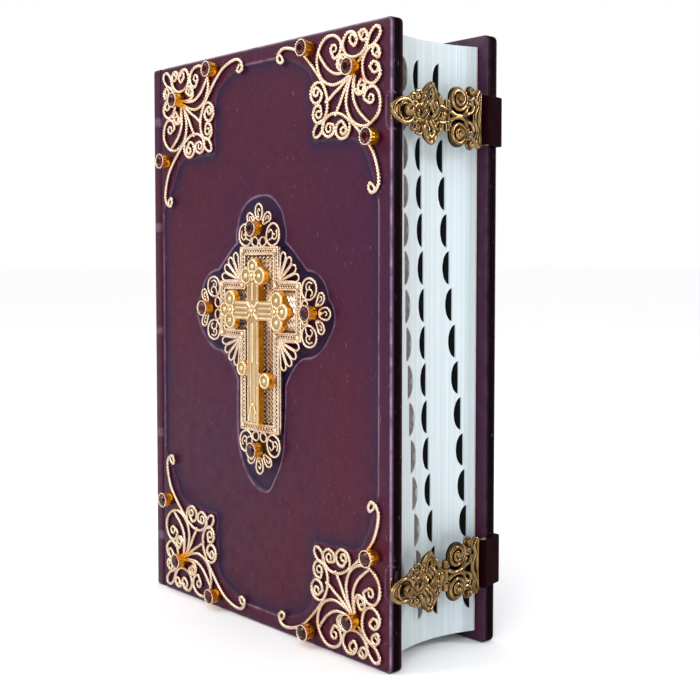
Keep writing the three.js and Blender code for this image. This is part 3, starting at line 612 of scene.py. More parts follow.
def field_distance(x, z, radius=1.6):
    """How far each point is inside the tooled field's rounded rectangle."""
    low = (BOARD_LEFT + FIELD_MARGIN_JOINT, FIELD_MARGIN)
    high = (BOARD_RIGHT - FIELD_MARGIN, HEIGHT - FIELD_MARGIN)
    out_x = np.maximum(low[0] + radius - x, x - high[0] + radius)
    out_z = np.maximum(low[1] + radius - z, z - high[1] + radius)
    outside = np.hypot(np.maximum(out_x, 0), np.maximum(out_z, 0))
    return radius - outside - np.minimum(np.maximum(out_x, out_z), 0)


def undulation(x, z):
    """The slight unevenness of leather pasted down by hand, as depths."""
    waves = np.sin(x / 23 + z / 61) + np.sin(z / 31 - x / 47 + 1.3) + np.sin((x + z) / 17 + 4) * 0.5
    return 0.045 * waves


def corner_origin(across, up):
    """The outer corner of a corner's filigree; across is 1 for a left one and up is 1 for a lower one."""
    x = 2 * MIDDLE_X - BOARD_RIGHT + CORNER_INSET_X if across > 0 else BOARD_RIGHT - CORNER_INSET_X
    return x, CORNER_INSET_Z if up > 0 else HEIGHT - CORNER_INSET_Z


def pad_outline(across, up):
    """The raised pad under a corner's filigree, as a closed run of (x, z) points; a left pad's edge runs out
    to the narrower border beside the joint."""
    edge = spline([*PAD_EDGE, *((b, a) for a, b in reversed(PAD_EDGE))], 1.5)
    outline = np.vstack([edge, [(70, -15), (-15, -15), (-15, 70)]])
    if across > 0:
        outline[:, 0] -= (FIELD_MARGIN - FIELD_MARGIN_JOINT) * smooth(48, 68, outline[:, 1])
    return outline * [across, up] + corner_origin(across, up)


def plain_relief(x, z, pads=()):
    """How deep the leather lies below the cover's face, how far it is darkened, with a darker band on the
    border and painted shade inside the sunken field along its wall, and how far it is paled, with a painted
    highlight along the field's edge; the field goes round the pads."""
    edge = field_distance(x, z)
    field = edge
    for pad in pads:
        field = np.minimum(field, -inside_distance(x, z, pad))
    depth = FIELD_DEPTH * smooth(-0.3, 0.9, field) + undulation(x, z) * smooth(0.5, 8, field)
    # Painted shade inside the sunken field along its wall, a darker band on the border, and a painted
    # highlight along the field's edge, weaker beside the pads.
    near_wall = np.exp(-np.maximum(field - 0.4, 0) / 3.2) * (field > -0.2)
    border = 0.34 * np.exp(-np.abs(np.minimum(field, 0) + 4) / 2)
    wall_highlight = np.where(field < edge - 0.3, 0.1, 0.6)
    return depth, np.clip(0.85 * near_wall + border, 0, 1), wall_highlight * np.exp(-((field + 0.5) / 0.35) ** 2)


def front_relief(x, z):
    depth, antique_and_shade, wear_and_highlight = plain_relief(x, z, [pad_outline(across, up) for _, across, up in CORNERS])
    panel = inside_distance(x, z, panel_outline())
    depth = depth + PANEL_DEPTH * smooth(-0.35, 0.85, panel) - 0.12 * np.exp(-((panel + 1.0) / 0.6) ** 2)
    # The panel's floor is darkened all over and more near its wall, and the leather just outside its rim too:
    # darker dye, with painted shade in the recess.
    halo = np.where(panel > 0, 0.5 + 0.5 * np.exp(-panel / 3.0), 0.6 * np.exp(panel / 1.2))
    antique_and_shade = np.clip(antique_and_shade + halo, 0, 1)
    # A painted highlight along the panel's rim.
    wear_and_highlight = wear_and_highlight + 0.6 * np.exp(-((panel + 0.6) / 0.35) ** 2)
    return depth, antique_and_shade, wear_and_highlight


def clasp_dip(z):
    """How much of the front board's fore-edge arris is pared away beside each clasp."""
    return sum(3.0 * (1 - smooth(4.5, 9.5, np.abs(z - level))) for level in CLASP_LEVELS.values())


def even_steps(low, high, step):
    """Numbers from low to high, as near `step` apart as fits."""
    return np.linspace(low, high, round((high - low) / step) + 1)


def cover_shell(step, relief, pared):
    """A board's leather as a closed shell, in the front cover's place: its face is a grid, and rings of
    points take it round the arris, down the side and over the turn-in."""
    inset = BOARD_CORNER
    xs = even_steps(BOARD_LEFT + inset, BOARD_RIGHT - inset, step)
    zs = even_steps(inset, HEIGHT - inset, step)
    x, z = np.meshgrid(xs, zs)
    depth, antique_and_shade, wear_and_highlight = relief(x, z)
    columns, rows = len(xs), len(zs)
    points = [np.stack([x, COVER_FACE + depth, z], axis=-1).reshape(-1, 3)]
    tones = [np.stack([antique_and_shade, wear_and_highlight], axis=-1).reshape(-1, 2)]
    cell = np.arange((rows - 1) * columns).reshape(rows - 1, columns)[:, :-1].ravel()
    faces = np.stack([cell, cell + 1, cell + columns + 1, cell + columns], axis=1).tolist()

    # The grid's edge as runs of points with their outward directions, and four turned copies at each corner.
    runs = [
        (np.arange(columns), 270),
        (np.arange(rows) * columns + columns - 1, 0),
        (np.arange(columns)[::-1] + (rows - 1) * columns, 90),
        (np.arange(rows)[::-1] * columns, 180),
    ]
    edge, turn = [], []
    for indices, side in runs:
        edge += list(indices)
        turn += [side] * len(indices)
        edge += [indices[-1]] * 4
        turn += [side + 18 * k for k in range(1, 5)]
    edge, turn = np.array(edge), np.radians(turn)
    base = points[0][edge][:, [0, 2]]
    outward = np.stack([np.cos(turn), np.sin(turn)], axis=1)

    def ring(offset, y, antique_and_shade_here, wear_and_highlight_here):
        """A ring `offset` outside the grid, or inside it where that is negative."""
        flat = base + outward * max(offset, 0)
        if offset < 0:
            flat[:, 0] = np.clip(flat[:, 0], xs[0] - offset, xs[-1] + offset)
            flat[:, 1] = np.clip(flat[:, 1], zs[0] - offset, zs[-1] + offset)
        points.append(on_front(flat, y))
        tones.append(np.tile([antique_and_shade_here, wear_and_highlight_here], (len(flat), 1)))

    # Round the arris the leather darkens as it turns to the side, which is painted shade, and a pale line
    # halfway round is a painted highlight with some rubbed wear.
    for tilt in np.linspace(0, 90, 7):
        lean = math.radians(tilt)
        y = COVER_FACE + ARRIS * (1 - math.cos(lean))
        ring(inset - ARRIS + ARRIS * math.sin(lean), y, 0.3 + lean / 2, math.sin(2 * lean) ** 8)
    # Down the side the leather is fully darkened: painted shade.
    for below in (3.0, 4.4):
        ring(inset, COVER_FACE + below, 1, 0)
    for tilt in np.linspace(0, 90, 4):
        lean = math.radians(tilt)
        y = -BOARD_INSIDE - INNER_ARRIS + INNER_ARRIS * math.sin(lean)
        ring(inset - INNER_ARRIS + INNER_ARRIS * math.cos(lean), y, 0.5, 0.05)
    ring(inset - TURN_IN / 2, -BOARD_INSIDE, 0.1, 0)
    ring(inset - TURN_IN + 0.4, -BOARD_INSIDE, 0.2, 0.05)
    ring(inset - TURN_IN, -BOARD_INSIDE - 0.3, 0.8, 0)
    ring(inset - TURN_IN, -BOARD_INSIDE - TURN_IN_LEATHER, 0.8, 0)

    count = len(edge)
    first = len(points[0])
    levels = [edge.tolist()]
    for k in range(len(points) - 1):
        levels.append(list(range(first + k * count, first + (k + 1) * count)))
    for inner, outer in zip(levels, levels[1:]):
        for j in range(count):
            k = (j + 1) % count
            quad = [outer[j], outer[k], inner[k], inner[j]]
            faces.append(quad[:3] if inner[j] == inner[k] else quad)
    points.append(np.array([[MIDDLE_X, -BOARD_INSIDE - TURN_IN_LEATHER, HEIGHT / 2]]))
    tones.append(np.array([[0.8, 0]]))
    hub = first + (len(levels) - 1) * count
    last = levels[-1]
    faces += [[last[(j + 1) % count], last[j], hub] for j in range(count)]

    points, tones = np.vstack(points), np.vstack(tones)
    if pared:
        short = clasp_dip(points[:, 2]) - (BOARD_RIGHT - points[:, 0]) - (points[:, 1] - COVER_FACE)
        move = np.maximum(short, 0) / 2
        points[:, 0] -= move
        points[:, 1] += move
        # A painted highlight along the pared dip beside each clasp.
        tones[:, 1] = np.maximum(tones[:, 1], 0.6 * np.exp(-((short - 0.25) / 0.2) ** 2))
    return points, faces, tones


def covers():
    for side, step, relief, mirror in (("front", 0.5, front_relief, 1), ("back", 1.2, plain_relief, -1)):
        points, faces, tones = cover_shell(step, relief, side == "front")
        points[:, 1] *= mirror
        cover = place(f"{side}_cover_skin", mesh_of(points, faces, tones), [BURGUNDY, SHADED_EDGE_BURGUNDY],
                      f"{side}_cover", "burgundy_leather", [f"{side}_cover_leather"])
        for face in cover.data.polygons:
            inwards = HALF_THICKNESS - abs(face.center.y * 1000 - ORIGIN[1])
            # The board's side faces take the darker copy of the leather, with its painted shade.
            face.material_index = int(FIELD_DEPTH + PANEL_DEPTH + 0.4 < inwards < BOARD_THICKNESS - 0.5)
        dress(f"{side}_cover_board", CARD)
        dress(f"{side}_cover_pastedown", ENDPAPER)
        dress(f"{side}_flyleaf", ENDPAPER)


# ---- spine ----
def band_lift(z):
    """How far the raised bands lift the spine's leather at a height."""
    lift = 0.0
    for i in range(BAND_COUNT):
        middle = (i + 0.5) * HEIGHT / BAND_COUNT
        lift = max(lift, 1 - float(smooth(BAND_WIDTH / 2 - 1.4, BAND_WIDTH / 2 + 1.2, abs(z - middle))))
    return lift


def spine_section(bulge, shrink):
    """The spine's crescent at one height, as a closed run of (x, y) points."""
    reach = HALF_THICKNESS - 0.4
    inside = PAGES_HALF + GAP
    clear = 2 * GAP + 1.0
    course = [(-4.6, -reach), (-9, -reach + 2), (-bulge, -reach / 2), (-bulge, 0)]
    curve = bezier(course, np.linspace(0, 1, 20))
    outside = np.vstack([[(0.2, -inside), (0.2, -reach + 0.6), (-0.1, -reach + 0.15), (-0.8, -reach)], curve])
    outside = np.vstack([outside, outside[-2::-1] * [1, -1]])
    length = np.linalg.norm(outside, axis=1)[:, None]
    rounded = outside - outside / length * shrink * (outside[:, :1] < 0.1)
    ends = [(-clear, inside), (-2 * PAGES_BACK_BULGE - clear, 0), (-clear, -inside)]
    return np.vstack([rounded, ends[0], bezier(ends, np.linspace(0, 1, 12)[1:-1]), ends[2]])


def spine():
    ends = np.linspace(0, SPINE_END_ROUND, 6)
    levels = sorted({*np.round(np.concatenate([np.linspace(0, HEIGHT, 180), ends, HEIGHT - ends]), 3)})
    rings, tones = [], []
    for z in levels:
        end = min(z, HEIGHT - z)
        shrink = 1.2 * (1 - math.sqrt(1 - (1 - min(end / SPINE_END_ROUND, 1)) ** 2))
        lift = band_lift(z)
        section = spine_section(SPINE_BULGE + BAND_RISE * lift, shrink)
        rings.append(np.column_stack([section, np.full(len(section), z)]))
        # Darker on the bands' slopes, painted shade in the creases beside them, and darker towards the
        # spine's ends; paler on the bands' tops, rubbed wear with a painted highlight.
        antique_and_shade = min(1, 3.2 * lift * (1 - lift) + 0.6 * math.exp(-end / 2.5))
        tones.append(np.tile([antique_and_shade, 2.5 * max(0, lift - 0.9)], (len(section), 1)))
    faces = wrapped_faces(len(levels), len(rings[0]), capped=True)
    place("spine_skin", mesh_of(np.vstack(rings), faces, np.vstack(tones)), [BURGUNDY], "book_block",
          "burgundy_leather", ["spine_leather"])


def joints():
    """The thin leather in each joint's groove, between the spine and the board, with a shallow dip across it.
    """
    xs = np.linspace(-0.5, 1.9, 9)
    dip = 0.5 * np.exp(-((xs - 0.7) / 0.5) ** 2)
    for side, body in ((-1, "front_cover"), (1, "back_cover")):
        rings = []
        for z in np.linspace(1.6, HEIGHT - 1.6, 60):
            outer = np.column_stack([xs, side * (JOINT_OUTSIDE - dip), np.full(len(xs), z)])
            inner = np.column_stack([xs[::-1], side * (JOINT_INSIDE - dip[::-1]), np.full(len(xs), z)])
            rings += [outer, inner]
        points = np.vstack(rings)
        faces = wrapped_faces(60, 2 * len(xs), capped=True)
        # The groove's leather is darkened all over: painted shade.
        mesh = mesh_of(points, faces, np.tile([0.7, 0.0], (len(points), 1)))
        piece = place(f"{body}_joint_leather", mesh, [BURGUNDY], None, "burgundy_leather")
        where = [(np.array([x, side * HALF_THICKNESS, HEIGHT / 2]) + ORIGIN) / 1000 for x in (0.2, 1.2)]
        tuple(where[0])
        tuple(where[1])
        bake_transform(piece)


def spine_inside():
    """Lining and the two sewn bands; the bands are striped cords that follow the pages' back."""
    dress("spine_lining", LINEN)
    above = 1.3
    for name, z in (("head_band", HEIGHT - SQUARE + above), ("tail_band", SQUARE - above)):
        y = np.linspace(-PAGES_HALF + 1, PAGES_HALF - 1, 120)
        form = Form()
        path = np.column_stack([1.2 + page_back(y), y, np.full(len(y), z)])
        tube(form, path, 1.0, lift=(0, 0, 1), sides=10)
        place(f"{name}_silk", form.mesh(), [SILK], "book_block", "headband_silk", [name])


# ---- pages ----
def fore_edge(y):
    return PAGES_RIGHT - PAGES_FORE_HOLLOW * (1 - (y / PAGES_HALF) ** 2)


def page_back(y):
    return -PAGES_BACK_BULGE * (1 - (y / PAGES_HALF) ** 2)


def notch_places():
    """(which way the scoop is cut, its label page's Y, its middle's Z) for every thumb notch."""
    for toward, line in NOTCH_COLUMNS:
        course = spline([(i, y) for i, y in enumerate(line)], 0.02)
        for row in range(NOTCH_ROWS):
            share = row / (NOTCH_ROWS - 1) * (len(line) - 1)
            yield toward, float(np.interp(share, course[:, 0], course[:, 1])), NOTCH_TOP - NOTCH_PITCH * row


def scoop_points(toward, y, z, rings, sides):
    """The squashed half ball that a thumb notch takes out of the pages, as rings from its rim to its pole."""
    turn = np.arange(sides) * 2 * math.pi / sides
    points = []
    for k in range(rings):
        tilt = math.pi / 2 * k / rings
        points.append(np.column_stack([
            fore_edge(y) + NOTCH_DEPTH * math.cos(tilt) * np.cos(turn),
            np.full(sides, y + toward * NOTCH_WIDTH * math.sin(tilt)),
            z + NOTCH_RADIUS * math.cos(tilt) * np.sin(turn),
        ]))
    return np.vstack([*points, (fore_edge(y), y + toward * NOTCH_WIDTH, z)])


def page_block():
    rng = random.Random(7)
    ys = np.linspace(-PAGES_HALF, PAGES_HALF, 230)
    ragged = np.array([rng.uniform(-0.05, 0.05) for _ in ys])
    back_ys = np.linspace(PAGES_HALF, -PAGES_HALF, 40)
    front, back = (fore_edge(ys) + ragged, ys), (page_back(back_ys), back_ys)
    block = Form()
    prism(block, np.hstack([front, back]).T, SQUARE, HEIGHT - SQUARE, axis=2)
    cutters = Form()
    rings, sides = 7, 36
    pole = rings * sides
    faces = [*wrapped_faces(rings, sides), tuple(range(sides))]
    faces += [(pole, pole - sides + j, pole - sides + (j + 1) % sides) for j in range(sides)]
    for toward, y, z in notch_places():
        cutters.add(scoop_points(toward, y, z, rings, sides), faces)
    cutter = added("cutter", cutters.mesh())
    settings = {"object": cutter, "operation": "DIFFERENCE", "solver": "EXACT"}
    cut = evaluated(block.mesh(), ("BOOLEAN", settings))
    bpy.data.objects.remove(cutter)
    place("page_sections", cut, [PAGES], "book_block", "page_paper", ["page_block"], False)


def tab_papers():
    """Black papers on the label pages, and grey shells on the first column's notch walls: painted shade in
    those pockets, with some dirt.
    """
    turn = np.radians(np.linspace(95, 265, 22))
    black, grey = Form(), Form()
    for toward, y, z in notch_places():
        if toward < 0:
            rim_x = fore_edge(y) - 0.12 + 0.97 * NOTCH_DEPTH * np.cos(turn)
            prism(black, np.column_stack([rim_x, z + 0.98 * NOTCH_RADIUS * np.sin(turn)]), y - 0.14, y - 0.01)
        else:
            scoop_lining(grey, toward, y, z)
    place("black_tabs", black.mesh(), [TAB_BLACK], "book_block", "page_paper", smooth_shading=False)
    place("shaded_notch_edges", grey.mesh(), [SHADED_CUT_GREY], "book_block", "page_paper")


def scoop_lining(form, toward, y, z):
    """A thin shell on a notch's rounded wall, cut off just inside the fore-edge; its grey is painted shade,
    with some dirt.
    """
    rings, run = 9, 24
    layers = []
    for scale in (0.985, 0.945):
        for k in range(rings):
            tilt = math.radians(70) * k / (rings - 1)
            at_y = y + toward * scale * NOTCH_WIDTH * math.sin(tilt)
            reach = scale * NOTCH_DEPTH * math.cos(tilt)
            start = math.acos(float(np.clip((fore_edge(at_y) - 0.12 - fore_edge(y)) / reach, -0.98, 0.98)))
            turn = np.linspace(start, 2 * math.pi - start, run)
            layers.append(np.column_stack([fore_edge(y) + reach * np.cos(turn), np.full(run, at_y),
                                           z + scale * NOTCH_RADIUS * math.cos(tilt) * np.sin(turn)]))
    size = rings * run
    faces = []
    for k in range(rings - 1):
        for j in range(run - 1):
            a = k * run + j
            faces.append((a, a + 1, a + run + 1, a + run))
            faces.append((size + a, size + a + run, size + a + run + 1, size + a + 1))
    grid = np.arange(size).reshape(rings, run)
    border = [*grid[0], *grid[1:, -1], *grid[-1, -2::-1], *grid[-2:0:-1, 0]]
    faces += [(a, b, size + b, size + a) for a, b in zip(border, border[1:] + border[:1])]
    form.add(np.vstack(layers), faces)


# ---- stones in their bezels ----
def bezel_mesh():
    """The toothed bezel that every stone shares, around the origin of the book's frame and facing -Y."""
    sides, teeth = 144, 18
    turn = np.arange(sides) * 2 * math.pi / sides
    tooth = 0.5 + 0.5 * np.cos(teeth * turn)
    profile = [
        (0.4, -1.1, 0, 0), (2.9, -1.1, 0, 0), (2.95, 0.0, 0, 0), (3.0, 0.9, 0.02, 0),
        (3.05, 1.6, 0.04, 0), (3.14, 2.6, 0.1, 0), (3.3, 3.4, 0.17, 0), (3.42, 3.9, 0.18, 0.1),
        (3.32, 4.2, 0.16, 0.3), (3.08, 4.24, 0.1, 0.3), (2.9, 3.95, 0.0, 0.1), (2.8, 3.0, 0, 0),
        (2.7, 1.4, 0, 0), (0.4, 1.4, 0, 0),
    ]
    rings = []
    for radius, height, swell, rise in profile:
        r = radius - swell + 2 * swell * tooth * 0.9
        h = height + rise * tooth
        rings.append(np.column_stack([r * np.cos(turn), -h, r * np.sin(turn)]))
    bezel = mesh_of(np.vstack(rings), wrapped_faces(len(profile), sides, True))
    bezel.materials.append(ORANGE_GOLD)
    bezel.materials.append(FILIGREE)
    for face in bezel.polygons:
        face.material_index = int(ORIGIN[1] - face.center.y * 1000 > 3.95)
    return bezel


def stone_mesh():
    """The cut stone that every bezel shares, placed the same way."""
    steps = [(STONE_RADIUS, 2.6, 0), (STONE_RADIUS, 3.9, 0), (2.25, 4.35, 0.5), (1.5, 4.8, 0)]
    corners = 10
    points = []
    for radius, height, shift in steps:
        spot = (np.arange(corners) + shift) * 2 * math.pi / corners
        points.append(on_front(radius * np.column_stack([np.cos(spot), np.sin(spot)]), -height))
    faces = [(j, (j + 1) % corners, corners + (j + 1) % corners, corners + j) for j in range(corners)]
    for k in (1, 2):
        a, b = k * corners, (k + 1) * corners
        for j in range(corners):
            n = (j + 1) % corners
            if k == 1:
                faces += [(a + j, a + n, b + j), (a + n, b + n, b + j)]
            else:
                faces += [(a + j, b + n, b + j), (a + j, a + n, b + n)]
    faces += [tuple(range(corners)), tuple(range(3 * corners, 4 * corners))]
    stone = mesh_of(np.vstack(points), faces)
    rng = random.Random(3)
    # Painted light: each facet's share of glowing red.
    glow = stone.attributes.new("painted_facet_light", "FLOAT", "FACE")
    glow.data.foreach_set("value", [rng.choice([0.0, 0.0, 0.02, 0.06, 0.15, 0.7]) for _ in stone.polygons])
    stone.materials.append(GARNET)
    return stone


def set_stones():
    foot = COVER_FACE - 1.8
    spots = []
    for name, across, up in CORNERS:
        x, z = corner_origin(across, up)
        for i, (a, b) in enumerate(CORNER_STONES):
            spots.append((f"{name}_{i + 1}", x + across * a, foot, z + up * b))
    base = PLATE_FACE - GAP
    reach = 7.6
    spots += [
        ("cross_top", MIDDLE_X, base, PLATE_HIGH + reach),
        ("cross_bottom", MIDDLE_X, base, PLATE_LOW - reach),
        ("cross_left", MIDDLE_X - PLATE_HALF_ARM - reach, base, CROSS_Z),
        ("cross_right", MIDDLE_X + PLATE_HALF_ARM + reach, base, CROSS_Z),
    ]
    kinds = (("bezel", bezel_mesh(), "bezel_gold", True), ("garnet", stone_mesh(), "garnet", False))
    middle = Matrix.Translation(Vector(ORIGIN / 1000))
    rng = random.Random(11)
    for name, x, y, z in spots:
        shift = Matrix.Translation(Vector((x / 1000, y / 1000, z / 1000)))
        for kind, mesh, slot, rounded in kinds:
            spin = Matrix.Rotation(rng.uniform(0, 6.28), 4, "Y")
            place(f"{name}_{kind}_piece", mesh, [], "front_cover", slot, [f"{name}_{kind}"], rounded,
                  shift @ middle @ spin @ middle.inverted())


# ---- filigree corners ----
# Points are (a, b): a inwards from the upright edge and b inwards from the level one. Each wire is also laid
# with a and b swapped.
CORNER_WIRES = [
    [(4.4, 59.6), (5.9, 58.8), (6.6, 60.6), (5.2, 62.4), (3, 62), (1.2, 59.5), (1.3, 55), (3.9, 47.7),
     (6.9, 43.7), (11.4, 39.2), (17.9, 33.7), (24.4, 30.7), (29.8, 31.2), (33.2, 34), (33.4, 37.2),
     (30.4, 39.4), (27.2, 38.2), (26.8, 35.2), (29, 34.4)],
    [(17.9, 33.7), (17.4, 37), (19.4, 40.2), (22.8, 40.7), (25.4, 38.4), (24.8, 35.2), (22, 34), (20, 36)],
    [(16, 16.5), (20.5, 22.5), (23.4, 27.5), (25.9, 31)],
    [(16, 16.5), (18.6, 22.2), (19.4, 27.2), (17.4, 32.7), (13.4, 35.9), (8, 37), (3.4, 35), (0.4, 31),
     (0.6, 26), (3.6, 22.6), (7.6, 23.2), (9.2, 26.4), (6.8, 28.2)],
    [(15, 17), (15.3, 25.2), (12.9, 30.2), (8.4, 34.4), (5.4, 36.4)],
    [(14.2, 16.4), (14.8, 21.4), (12.6, 24.6), (9.4, 23.8), (8.6, 20.6), (10.8, 19.2), (12.2, 21)],
    [(4.6, 16.6), (5.8, 14.8), (3.6, 13.3), (0.9, 15), (0.5, 18.7), (4.2, 21.4), (8.4, 19.6), (10.1, 15.2),
     (9.4, 11), (6.4, 7.9), (2.8, 7.3), (0.6, 9.4), (1.4, 11.9), (3.4, 11)],
]
CORNER_DIAGONALS = [
    [(8, 8), (6.2, 7.4), (3, 6.2), (0.3, 3), (0.5, 0.5)],
    [(32.6, 32.6), (33.6, 36.4), (36.6, 39), (39, 39)],
    [(7, 7), (16, 16)],
]
# Which of those wires go on into a closing scroll at their last point, and which at their first.
CURLED_ENDS = (0, 1, 3, 5, 6)
CURLED_STARTS = (0, 6)
CORNER_BEADS = [(0.9, 0.9), (25.6, 31.2), (31.2, 25.6), (17.9, 33.9), (33.9, 17.9)]
CORNER_STONES = [(14.2, 14.2), (3.4, 41.6), (41.6, 3.4)]


def curled(line, turns=0.95):
    """A flat wire whose last end goes on into a small closing scroll, the way it already bends."""
    last, before = line[-1] - line[-9], line[-9] - line[-18]
    heading = math.atan2(*(line[-1] - line[-3])[::-1])
    side = 1 if before[0] * last[1] - before[1] * last[0] > 0 else -1
    count = 50
    share = np.linspace(0, 1, count)
    radius = 2.0 - share
    bend = heading + side * 2 * math.pi * turns * share
    step = 2 * math.pi * turns / count * radius
    more = np.cumsum(np.column_stack([step * np.cos(bend), step * np.sin(bend)]), axis=0)
    return np.vstack([line, line[-1] + more])


def taper(count, full, thin=0.46, ends=0.18):
    """A wire's radii: full along its length and thinner where it curls up at its ends."""
    share = np.linspace(0, 1, count)
    return thin + (full - thin) * smooth(0, ends, np.minimum(share, 1 - share) + 0.02)


def corner_lines():
    """Each of a corner's wires, as flat points and its full radius."""
    kinds = ((CORNER_WIRES, 0.74, CURLED_ENDS, CURLED_STARTS), (CORNER_DIAGONALS, 0.7, (), ()))
    for wires, full, curled_ends, curled_starts in kinds:
        for i, points in enumerate(wires):
            for course in (points, [(b, a) for a, b in points]):
                flat = spline(course, WIRE_STEP)
                if i in curled_ends:
                    flat = curled(flat)
                if i in curled_starts:
                    flat = curled(flat[::-1], 0.7)[::-1]
                yield flat, full


def corner_filigree():
    for name, across, up in CORNERS:
        x, z = corner_origin(across, up)
        form = Form()
        for flat, full in corner_lines():
            path = on_front(flat * [across, up] + [x, z], WIRE_MIDDLE)
            tube(form, path, taper(len(path), full), twist=TWIST, flat=1.15)
        for a, b in CORNER_BEADS:
            ball(form, (x + across * a, WIRE_MIDDLE - 0.3, z + up * b), 0.75)
        place(f"{name}_wires", form.mesh(), [FILIGREE], "front_cover", "filigree_gold", [f"{name}_filigree"])


# ---- the cross ----
def plate_outline(inset):
    """The filigree plate's outline, `inset` inside its edge."""
    bar, reach, half = PLATE_HALF_BAR - inset, PLATE_HALF_ARM - inset, PLATE_ARM_HALF_HEIGHT - inset
    low, high = PLATE_LOW + inset, PLATE_HIGH - inset
    quarter = [(bar, low), (bar, CROSS_Z - half), (reach, CROSS_Z - half), (reach, CROSS_Z + half),
               (bar, CROSS_Z + half), (bar, high)]
    return np.array(quarter + [(-x, z) for x, z in reversed(quarter)]) + [MIDDLE_X, 0]


def along_outline(outline, step):
    """Points every `step` or so along a closed outline, its corners among them."""
    points = []
    for a, b in zip(outline, np.roll(outline, -1, axis=0)):
        count = max(1, round(np.linalg.norm(b - a) / step))
        points += [a + (b - a) * k / count for k in range(count)]
    return np.array(points)


def loop_petal(root, angle, length, width):
    """A long loop of wire that leaves `root` along `angle` degrees and comes back."""
    half = [(0, 0.1), (0.3, 0.17), (0.62, 0.36), (0.86, 0.5), (0.98, 0.3)]
    side = [(along * length, across * width) for along, across in half]
    points = side + [(length * 1.01, 0)] + [(along, -across) for along, across in reversed(side)]
    return turned(points, root, angle)


# The wires on each side of a finial's axis: radius, whether it is closed, and points outwards and sideways.
FINIAL_WIRES = [
    (0.55, True, [(0.6, 7.6), (0.4, 10.2), (2.2, 13.2), (5.4, 14), (8.6, 12.6), (9.6, 9.8), (8.6, 7.2),
                  (6.4, 5.6), (3, 5.4)]),
    (0.42, False, [(2.6, 6.4), (3.6, 9), (6, 9.4), (7, 7.8), (5.8, 6.8)]),
    (0.42, False, [(6.8, 12), (4.6, 12.4), (3, 11), (3.6, 9.4), (5.2, 9.8), (5, 11)]),
    (0.45, True, [(0.3, 1.2), (2.6, 0.6), (4, 2.2), (3.4, 4.4), (1.4, 4.8), (0.3, 3.4)]),
    (0.5, True, [(9.4, 3.0), (11.6, 3.2), (13.6, 4.4), (14.4, 6.6), (13.2, 8.2), (11.2, 7.8), (10.2, 5.8)]),
    (0.36, False, [(11.2, 4.6), (12.6, 5.4), (12.6, 6.8), (11.6, 6.4)]),
]
FINIAL_TIP = [
    (0.5, True, [(11.4, 1.1), (14, 2.3), (16.6, 2.2), (18.2, 0), (16.6, -2.2), (14, -2.3), (11.4, -1.1)]),
    (0.34, False, [(13, 0), (15, 0.8), (16, 0), (15, -0.8)]),
]


def finial(form, root, angle):
    """Scrolls, loops and petals around the garnet at the end of one arm of the cross."""
    wires = [(radius, closed, np.array(line) * [1, side])
             for side in (1, -1) for radius, closed, line in FINIAL_WIRES]
    for radius, closed, line in [*wires, *FINIAL_TIP]:
        path = on_front(turned(spline(line, WIRE_STEP, closed), root, angle), PLATE_FACE + 0.6)
        tube(form, path, radius, twist=TWIST, flat=1.15, closed=closed)
    for bead in on_front(turned([(11, -3.4), (12.6, 0), (11, 3.4)], root, angle), PLATE_FACE + 0.3):
        ball(form, bead, 0.8)


def cross_filigree():
    form = Form()
    top = PLATE_FACE + 0.5
    for inset, radius in ((0.5, 0.55), (3.3, 0.5)):
        path = on_front(along_outline(plate_outline(inset), 0.3), top)
        tube(form, path, radius, twist=TWIST, closed=True)
        wall = on_front(along_outline(plate_outline(inset), 3), top + 1.4)
        tube(form, wall, 0.42, sides=4, flat=3.6, closed=True)
    for x, z in along_outline(plate_outline(1.9), 1.75):
        ring = on_front(arc((x, z), 0.78, 0, 360, 13)[:-1], top + 0.25)
        tube(form, ring, 0.3, sides=5, closed=True)
    for x, z in plate_outline(1.9):
        ball(form, (x, top - 0.35, z), 1.15)
    prism(form, plate_outline(3.5), top + 0.5, COVER_FACE + FIELD_DEPTH + PANEL_DEPTH - GAP)
    comb_fill(form, top + 0.3)
    ends = [((MIDDLE_X, PLATE_HIGH), 90), ((MIDDLE_X, PLATE_LOW), -90),
            ((MIDDLE_X - PLATE_HALF_ARM, CROSS_Z), 180), ((MIDDLE_X + PLATE_HALF_ARM, CROSS_Z), 0)]
    for root, turn in ends:
        finial(form, root, turn)
    for across in (1, -1):
        for up in (1, -1):
            root = (MIDDLE_X + across * (PLATE_HALF_BAR + 0.2), CROSS_Z + up * (PLATE_ARM_HALF_HEIGHT + 0.2))
            for lean, length in ((8, 13.2), (29, 12.6), (51, 12.4), (74, 12.4)):
                angle = up * lean if across > 0 else 180 - up * lean
                path = on_front(spline(loop_petal(root, angle, length, 3.3), 0.24, True), top + 0.1)
                tube(form, path, 0.48, twist=TWIST, flat=1.2, closed=True)
            ball(form, (root[0] + across * 1.2, top, root[1] + up * 1.2), 1.0)
    place("cross_filigree_wires", form.mesh(), [FILIGREE], "front_cover", "filigree_gold", ["cross_filigree"])


def comb_fill(form, y):
    """Fine zigzag wires that fill the plate around the cast cross."""
    edge = 4.4
    spacing = 2.8
    runs = []
    for x in np.arange(-3, 3.1) * spacing:
        runs.append((MIDDLE_X + x, PLATE_LOW + edge, PLATE_HIGH - edge, True))
    for z in np.arange(-2.5, 2.6) * spacing:
        for side in (-1, 1):
            ends = sorted(MIDDLE_X + side * (half - edge) for half in (PLATE_HALF_BAR, PLATE_HALF_ARM))
            runs.append((CROSS_Z + z, *ends, False))
    for middle, start, end, upright in runs:
        count = round((end - start) / 0.95)
        along = np.linspace(start, end, count)
        across = middle + 0.9 * (-1.0) ** np.arange(count)
        flat = np.column_stack([across, along] if upright else [along, across])
        tube(form, on_front(flat, y), 0.26, sides=6)


